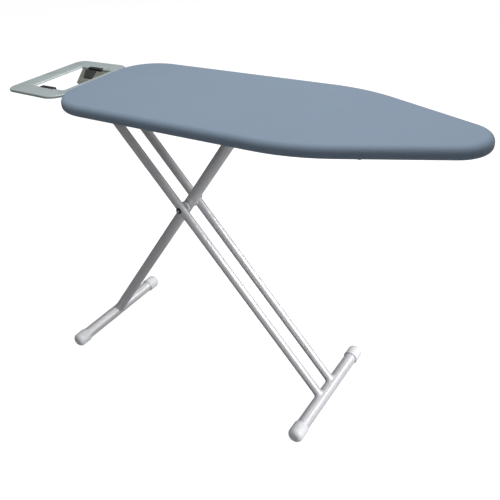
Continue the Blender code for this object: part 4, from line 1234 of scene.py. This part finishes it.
class BOARD_OT_iron_rest(bpy.types.Operator):
    """Make the pressed iron rest with its rim, lip and slot."""

    bl_idname = "ironing_board.iron_rest"
    bl_label = "Iron rest"

    def execute(self, context):
        shape = rest()
        low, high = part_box("iron_rest")
        top = high.z
        section = self.section(top)

        def loop(where, inset):
            if where == "rim":
                return rest_loop(
                    low.x + inset,
                    high.x - inset,
                    shape.outer_half - inset,
                    shape.inner_half - inset,
                    shape.corner - inset,
                    shape.board_corner - inset,
                )
            return rest_loop(
                low.x + shape.band - inset,
                high.x - shape.strip + inset,
                shape.opening_half + inset,
                shape.opening_half + inset,
                shape.opening_corner + inset,
                shape.opening_corner + inset,
            )

        loops = [(loop(where, inset), z) for where, inset, z in section]
        columns = len(loops[0][0])

        def place(column, row):
            points, z = loops[row % len(loops)]
            x, y = points[column % columns]
            return Vector((x, y, z))

        ring = shaped_grid("iron_rest_finished", columns, len(loops), place)
        slot_low, slot_high = self.slot(high.x, top)
        cut_away(ring, block("slot", slot_low, slot_high))
        finish_piece(ring, "rest", "board", ["iron_rest"])
        return {"FINISHED"}

    def section(self, top):
        """The ring's section: (rim or opening, inset, height) all round the sheet."""
        shape = rest()
        sheet = shape.sheet
        fold = 0.0030
        inner = fold - sheet
        rim_foot, rim_chamfer = top - shape.rim, 0.0004
        lip_foot, lip_chamfer = top - shape.lip, 0.0003

        def bend(where, radius, angles):
            return [(where, fold - radius * math.cos(a), top - fold + radius * math.sin(a)) for a in angles]

        outer_angles, inner_angles = quarter_angles(5), quarter_angles(4)
        points = [("rim", rim_chamfer, rim_foot), ("rim", 0, rim_foot + rim_chamfer)]
        points += bend("rim", fold, outer_angles) + bend("opening", fold, outer_angles[::-1])
        points += [("opening", 0, lip_foot + lip_chamfer), ("opening", lip_chamfer, lip_foot)]
        points += [("opening", sheet - lip_chamfer, lip_foot), ("opening", sheet, lip_foot + lip_chamfer)]
        points += bend("opening", inner, inner_angles) + bend("rim", inner, inner_angles[::-1])
        points += [("rim", sheet, rim_foot + rim_chamfer), ("rim", sheet - rim_chamfer, rim_foot)]
        return points

    def slot(self, inner_x, top):
        """Two corners of the small slot in the ring's far arm, beside the opening."""
        shape = rest()
        half_width, length = 0.0025, 0.010
        x = inner_x - shape.strip - 0.020
        y = shape.opening_half + 0.003
        low = Vector((x - half_width, y, top - 3 * shape.sheet))
        high = Vector((x + half_width, y + length, top + shape.sheet))
        return low, high


class BOARD_OT_rest_details(bpy.types.Operator):
    """Finish the rest's arms, gusset and pads."""

    bl_idname = "ironing_board.rest_details"
    bl_label = "Rest details"

    def execute(self, context):
        for _, word in SIDES:
            refine(f"{word}_rest_arm", "rest", 0.0005)
            refine(f"{word}_rest_pad", "rubber", 0.0004)
        # The gusset's dark colour is painted shade from the shadow under the ring.
        refine("rest_gusset", "gusset", 0.0004)
        refine("gusset_pad", "rubber", 0.0006, 3)
        return {"FINISHED"}


# ---------------------------------------------------------------- stage
CAMERA_PLACE = Vector((0.8954, -1.2187, 1.3981))
CAMERA_TURN = math.radians(34.946)
CAMERA_DOWN = math.radians(32.407)
CAMERA_ROLL = math.radians(-4.381)
CAMERA_LENS = 44.765


def aim(place, target):
    """A turn that points a light from one place to another."""
    return (target - place).to_track_quat("-Z", "Y").to_euler()


def seen_or_lighting(tree, seen, lighting):
    """Mix two shaders: one for what the camera sees, one for the light that it throws."""
    path = add_node(tree, "ShaderNodeLightPath")
    mix = add_node(tree, "ShaderNodeMixShader", Fac=path.outputs["Is Camera Ray"], _1=lighting, _2=seen)
    return mix.outputs[0]


class BOARD_OT_stage(bpy.types.Operator):
    """Make the pale floor, the soft studio lights and the camera."""

    bl_idname = "ironing_board.stage"
    bl_label = "Stage"

    def execute(self, context):
        self.floor()
        self.world(context.scene)
        self.lights()
        self.camera(context.scene)
        context.scene.view_settings.view_transform = "Standard"
        return {"FINISHED"}

    def floor(self):
        pick()
        bpy.ops.mesh.primitive_plane_add(size=60, location=(0, 0, -0.0005))
        floor = rename(bpy.context.object, "floor")
        made, tree, shader = new_finish("pale_floor")
        tree.nodes.remove(shader)
        paper = add_node(tree, "ShaderNodeBsdfDiffuse", Color=(0.30, 0.30, 0.30, 1.0))
        white = add_node(tree, "ShaderNodeEmission", Color=(1, 1, 1, 1), Strength=0.94)
        bright = add_node(tree, "ShaderNodeAddShader", _0=paper.outputs[0], _1=white.outputs[0])
        top = seen_or_lighting(tree, bright.outputs[0], paper.outputs[0])
        clear = add_node(tree, "ShaderNodeBsdfTransparent")
        back = add_node(tree, "ShaderNodeNewGeometry")
        backfacing = back.outputs["Backfacing"]
        mix = add_node(tree, "ShaderNodeMixShader", Fac=backfacing, _1=top, _2=clear.outputs[0])
        tree.links.new(mix.outputs[0], tree.nodes["Material Output"].inputs["Surface"])
        floor.data.materials.append(made)

    def world(self, scene):
        world = bpy.data.worlds.new("studio")
        world.use_nodes = True
        scene.world = world
        tree = world.node_tree
        tree.nodes.remove(tree.nodes["Background"])
        white = add_node(tree, "ShaderNodeBackground", Color=(1, 1, 1, 1), Strength=1.0)
        dim = add_node(tree, "ShaderNodeBackground", Color=(0.94, 0.97, 1.0, 1), Strength=0.12)
        both = seen_or_lighting(tree, white.outputs[0], dim.outputs[0])
        tree.links.new(both, tree.nodes["World Output"].inputs["Surface"])

    def lights(self):
        """Softboxes: name, place, width, height, power, and what each one lights."""
        target = Vector((0.05, 0, 0.45))
        softboxes = (
            ("key", Vector((3.2, 0.3, 2.3)), 1.6, 1.6, 100, "all but cover"),
            ("top", Vector((0.2, 0.4, 3.6)), 2.4, 2.4, 90, "all"),
            ("fill", Vector((-1.6, -2.6, 2.4)), 2.0, 2.0, 10, "all"),
            ("edge", Vector((3.0, 0.1, 0.8)), 0.9, 1.4, 26, "all but cover"),
            ("back", Vector((1.9, 2.2, 1.5)), 0.5, 1.2, 16, "all but cover, gloss only"),
        )
        # The collection is a flag that shades the cover from some of the lights.
        flag = bpy.data.collections.new("flagged_cover")
        flag.objects.link(bpy.data.objects["cover_sewn"])
        flag.collection_objects[0].light_linking.link_state = "EXCLUDE"
        for name, place, width, height, power, lights_up in softboxes:
            pick()
            bpy.ops.object.light_add(type="AREA", location=place, rotation=aim(place, target))
            light = bpy.context.object
            light.name = f"{name}_softbox"
            light.visible_diffuse = "gloss only" not in lights_up
            if lights_up != "all":
                light.light_linking.receiver_collection = flag
            light.data.shape = "RECTANGLE"
            light.data.size = width
            light.data.size_y = height
            light.data.energy = power

    def camera(self, scene):
        back = Vector((
            math.sin(CAMERA_TURN) * math.cos(CAMERA_DOWN),
            -math.cos(CAMERA_TURN) * math.cos(CAMERA_DOWN),
            math.sin(CAMERA_DOWN),
        ))
        right = UP.cross(back).normalized()
        up = back.cross(right)
        turned_right = right * math.cos(CAMERA_ROLL) + up * math.sin(CAMERA_ROLL)
        turned_up = up * math.cos(CAMERA_ROLL) - right * math.sin(CAMERA_ROLL)
        axes = Matrix((turned_right, turned_up, back)).transposed()
        pick()
        bpy.ops.object.camera_add(location=CAMERA_PLACE, rotation=axes.to_euler())
        camera = bpy.context.object
        camera.data.lens = CAMERA_LENS
        scene.camera = camera


# ---------------------------------------------------------------- add-on
# The stage comes last, because its lights are kept off the finished cover.
STEPS = (
    BOARD_OT_pad,
    BOARD_OT_cover,
    BOARD_OT_mesh_top,
    BOARD_OT_frame,
    BOARD_OT_rivets,
    BOARD_OT_twin_leg,
    BOARD_OT_single_leg,
    BOARD_OT_pivot,
    BOARD_OT_feet,
    BOARD_OT_rods,
    BOARD_OT_rack,
    BOARD_OT_iron_rest,
    BOARD_OT_rest_details,
    BOARD_OT_stage,
)


class BOARD_PT_panel(bpy.types.Panel):
    """Lists the board's pieces and its settings."""

    bl_label = "Ironing board"
    bl_idname = "BOARD_PT_panel"
    bl_space_type = "VIEW_3D"
    bl_region_type = "UI"
    bl_category = "Ironing board"

    def draw(self, context):
        for group in (context.scene.board_shape, context.scene.rest_shape, context.scene.board_finishes):
            settings = self.layout.box()
            for name in group.__annotations__:
                settings.prop(group, name)
        for step in STEPS:
            self.layout.operator(step.bl_idname)


CLASSES = (BoardShape, RestShape, Finishes, *STEPS, BOARD_PT_panel)


def register():
    for item in CLASSES:
        bpy.utils.register_class(item)
    bpy.types.Scene.board_shape = bpy.props.PointerProperty(type=BoardShape)
    bpy.types.Scene.rest_shape = bpy.props.PointerProperty(type=RestShape)
    bpy.types.Scene.board_finishes = bpy.props.PointerProperty(type=Finishes)


def unregister():
    del bpy.types.Scene.board_finishes
    del bpy.types.Scene.rest_shape
    del bpy.types.Scene.board_shape
    for item in reversed(CLASSES):
        bpy.utils.unregister_class(item)


def main():
    register()
    for step in STEPS:
        group, name = step.bl_idname.split(".")
        getattr(getattr(bpy.ops, group), name)()


if __name__ == "__main__":
    main()
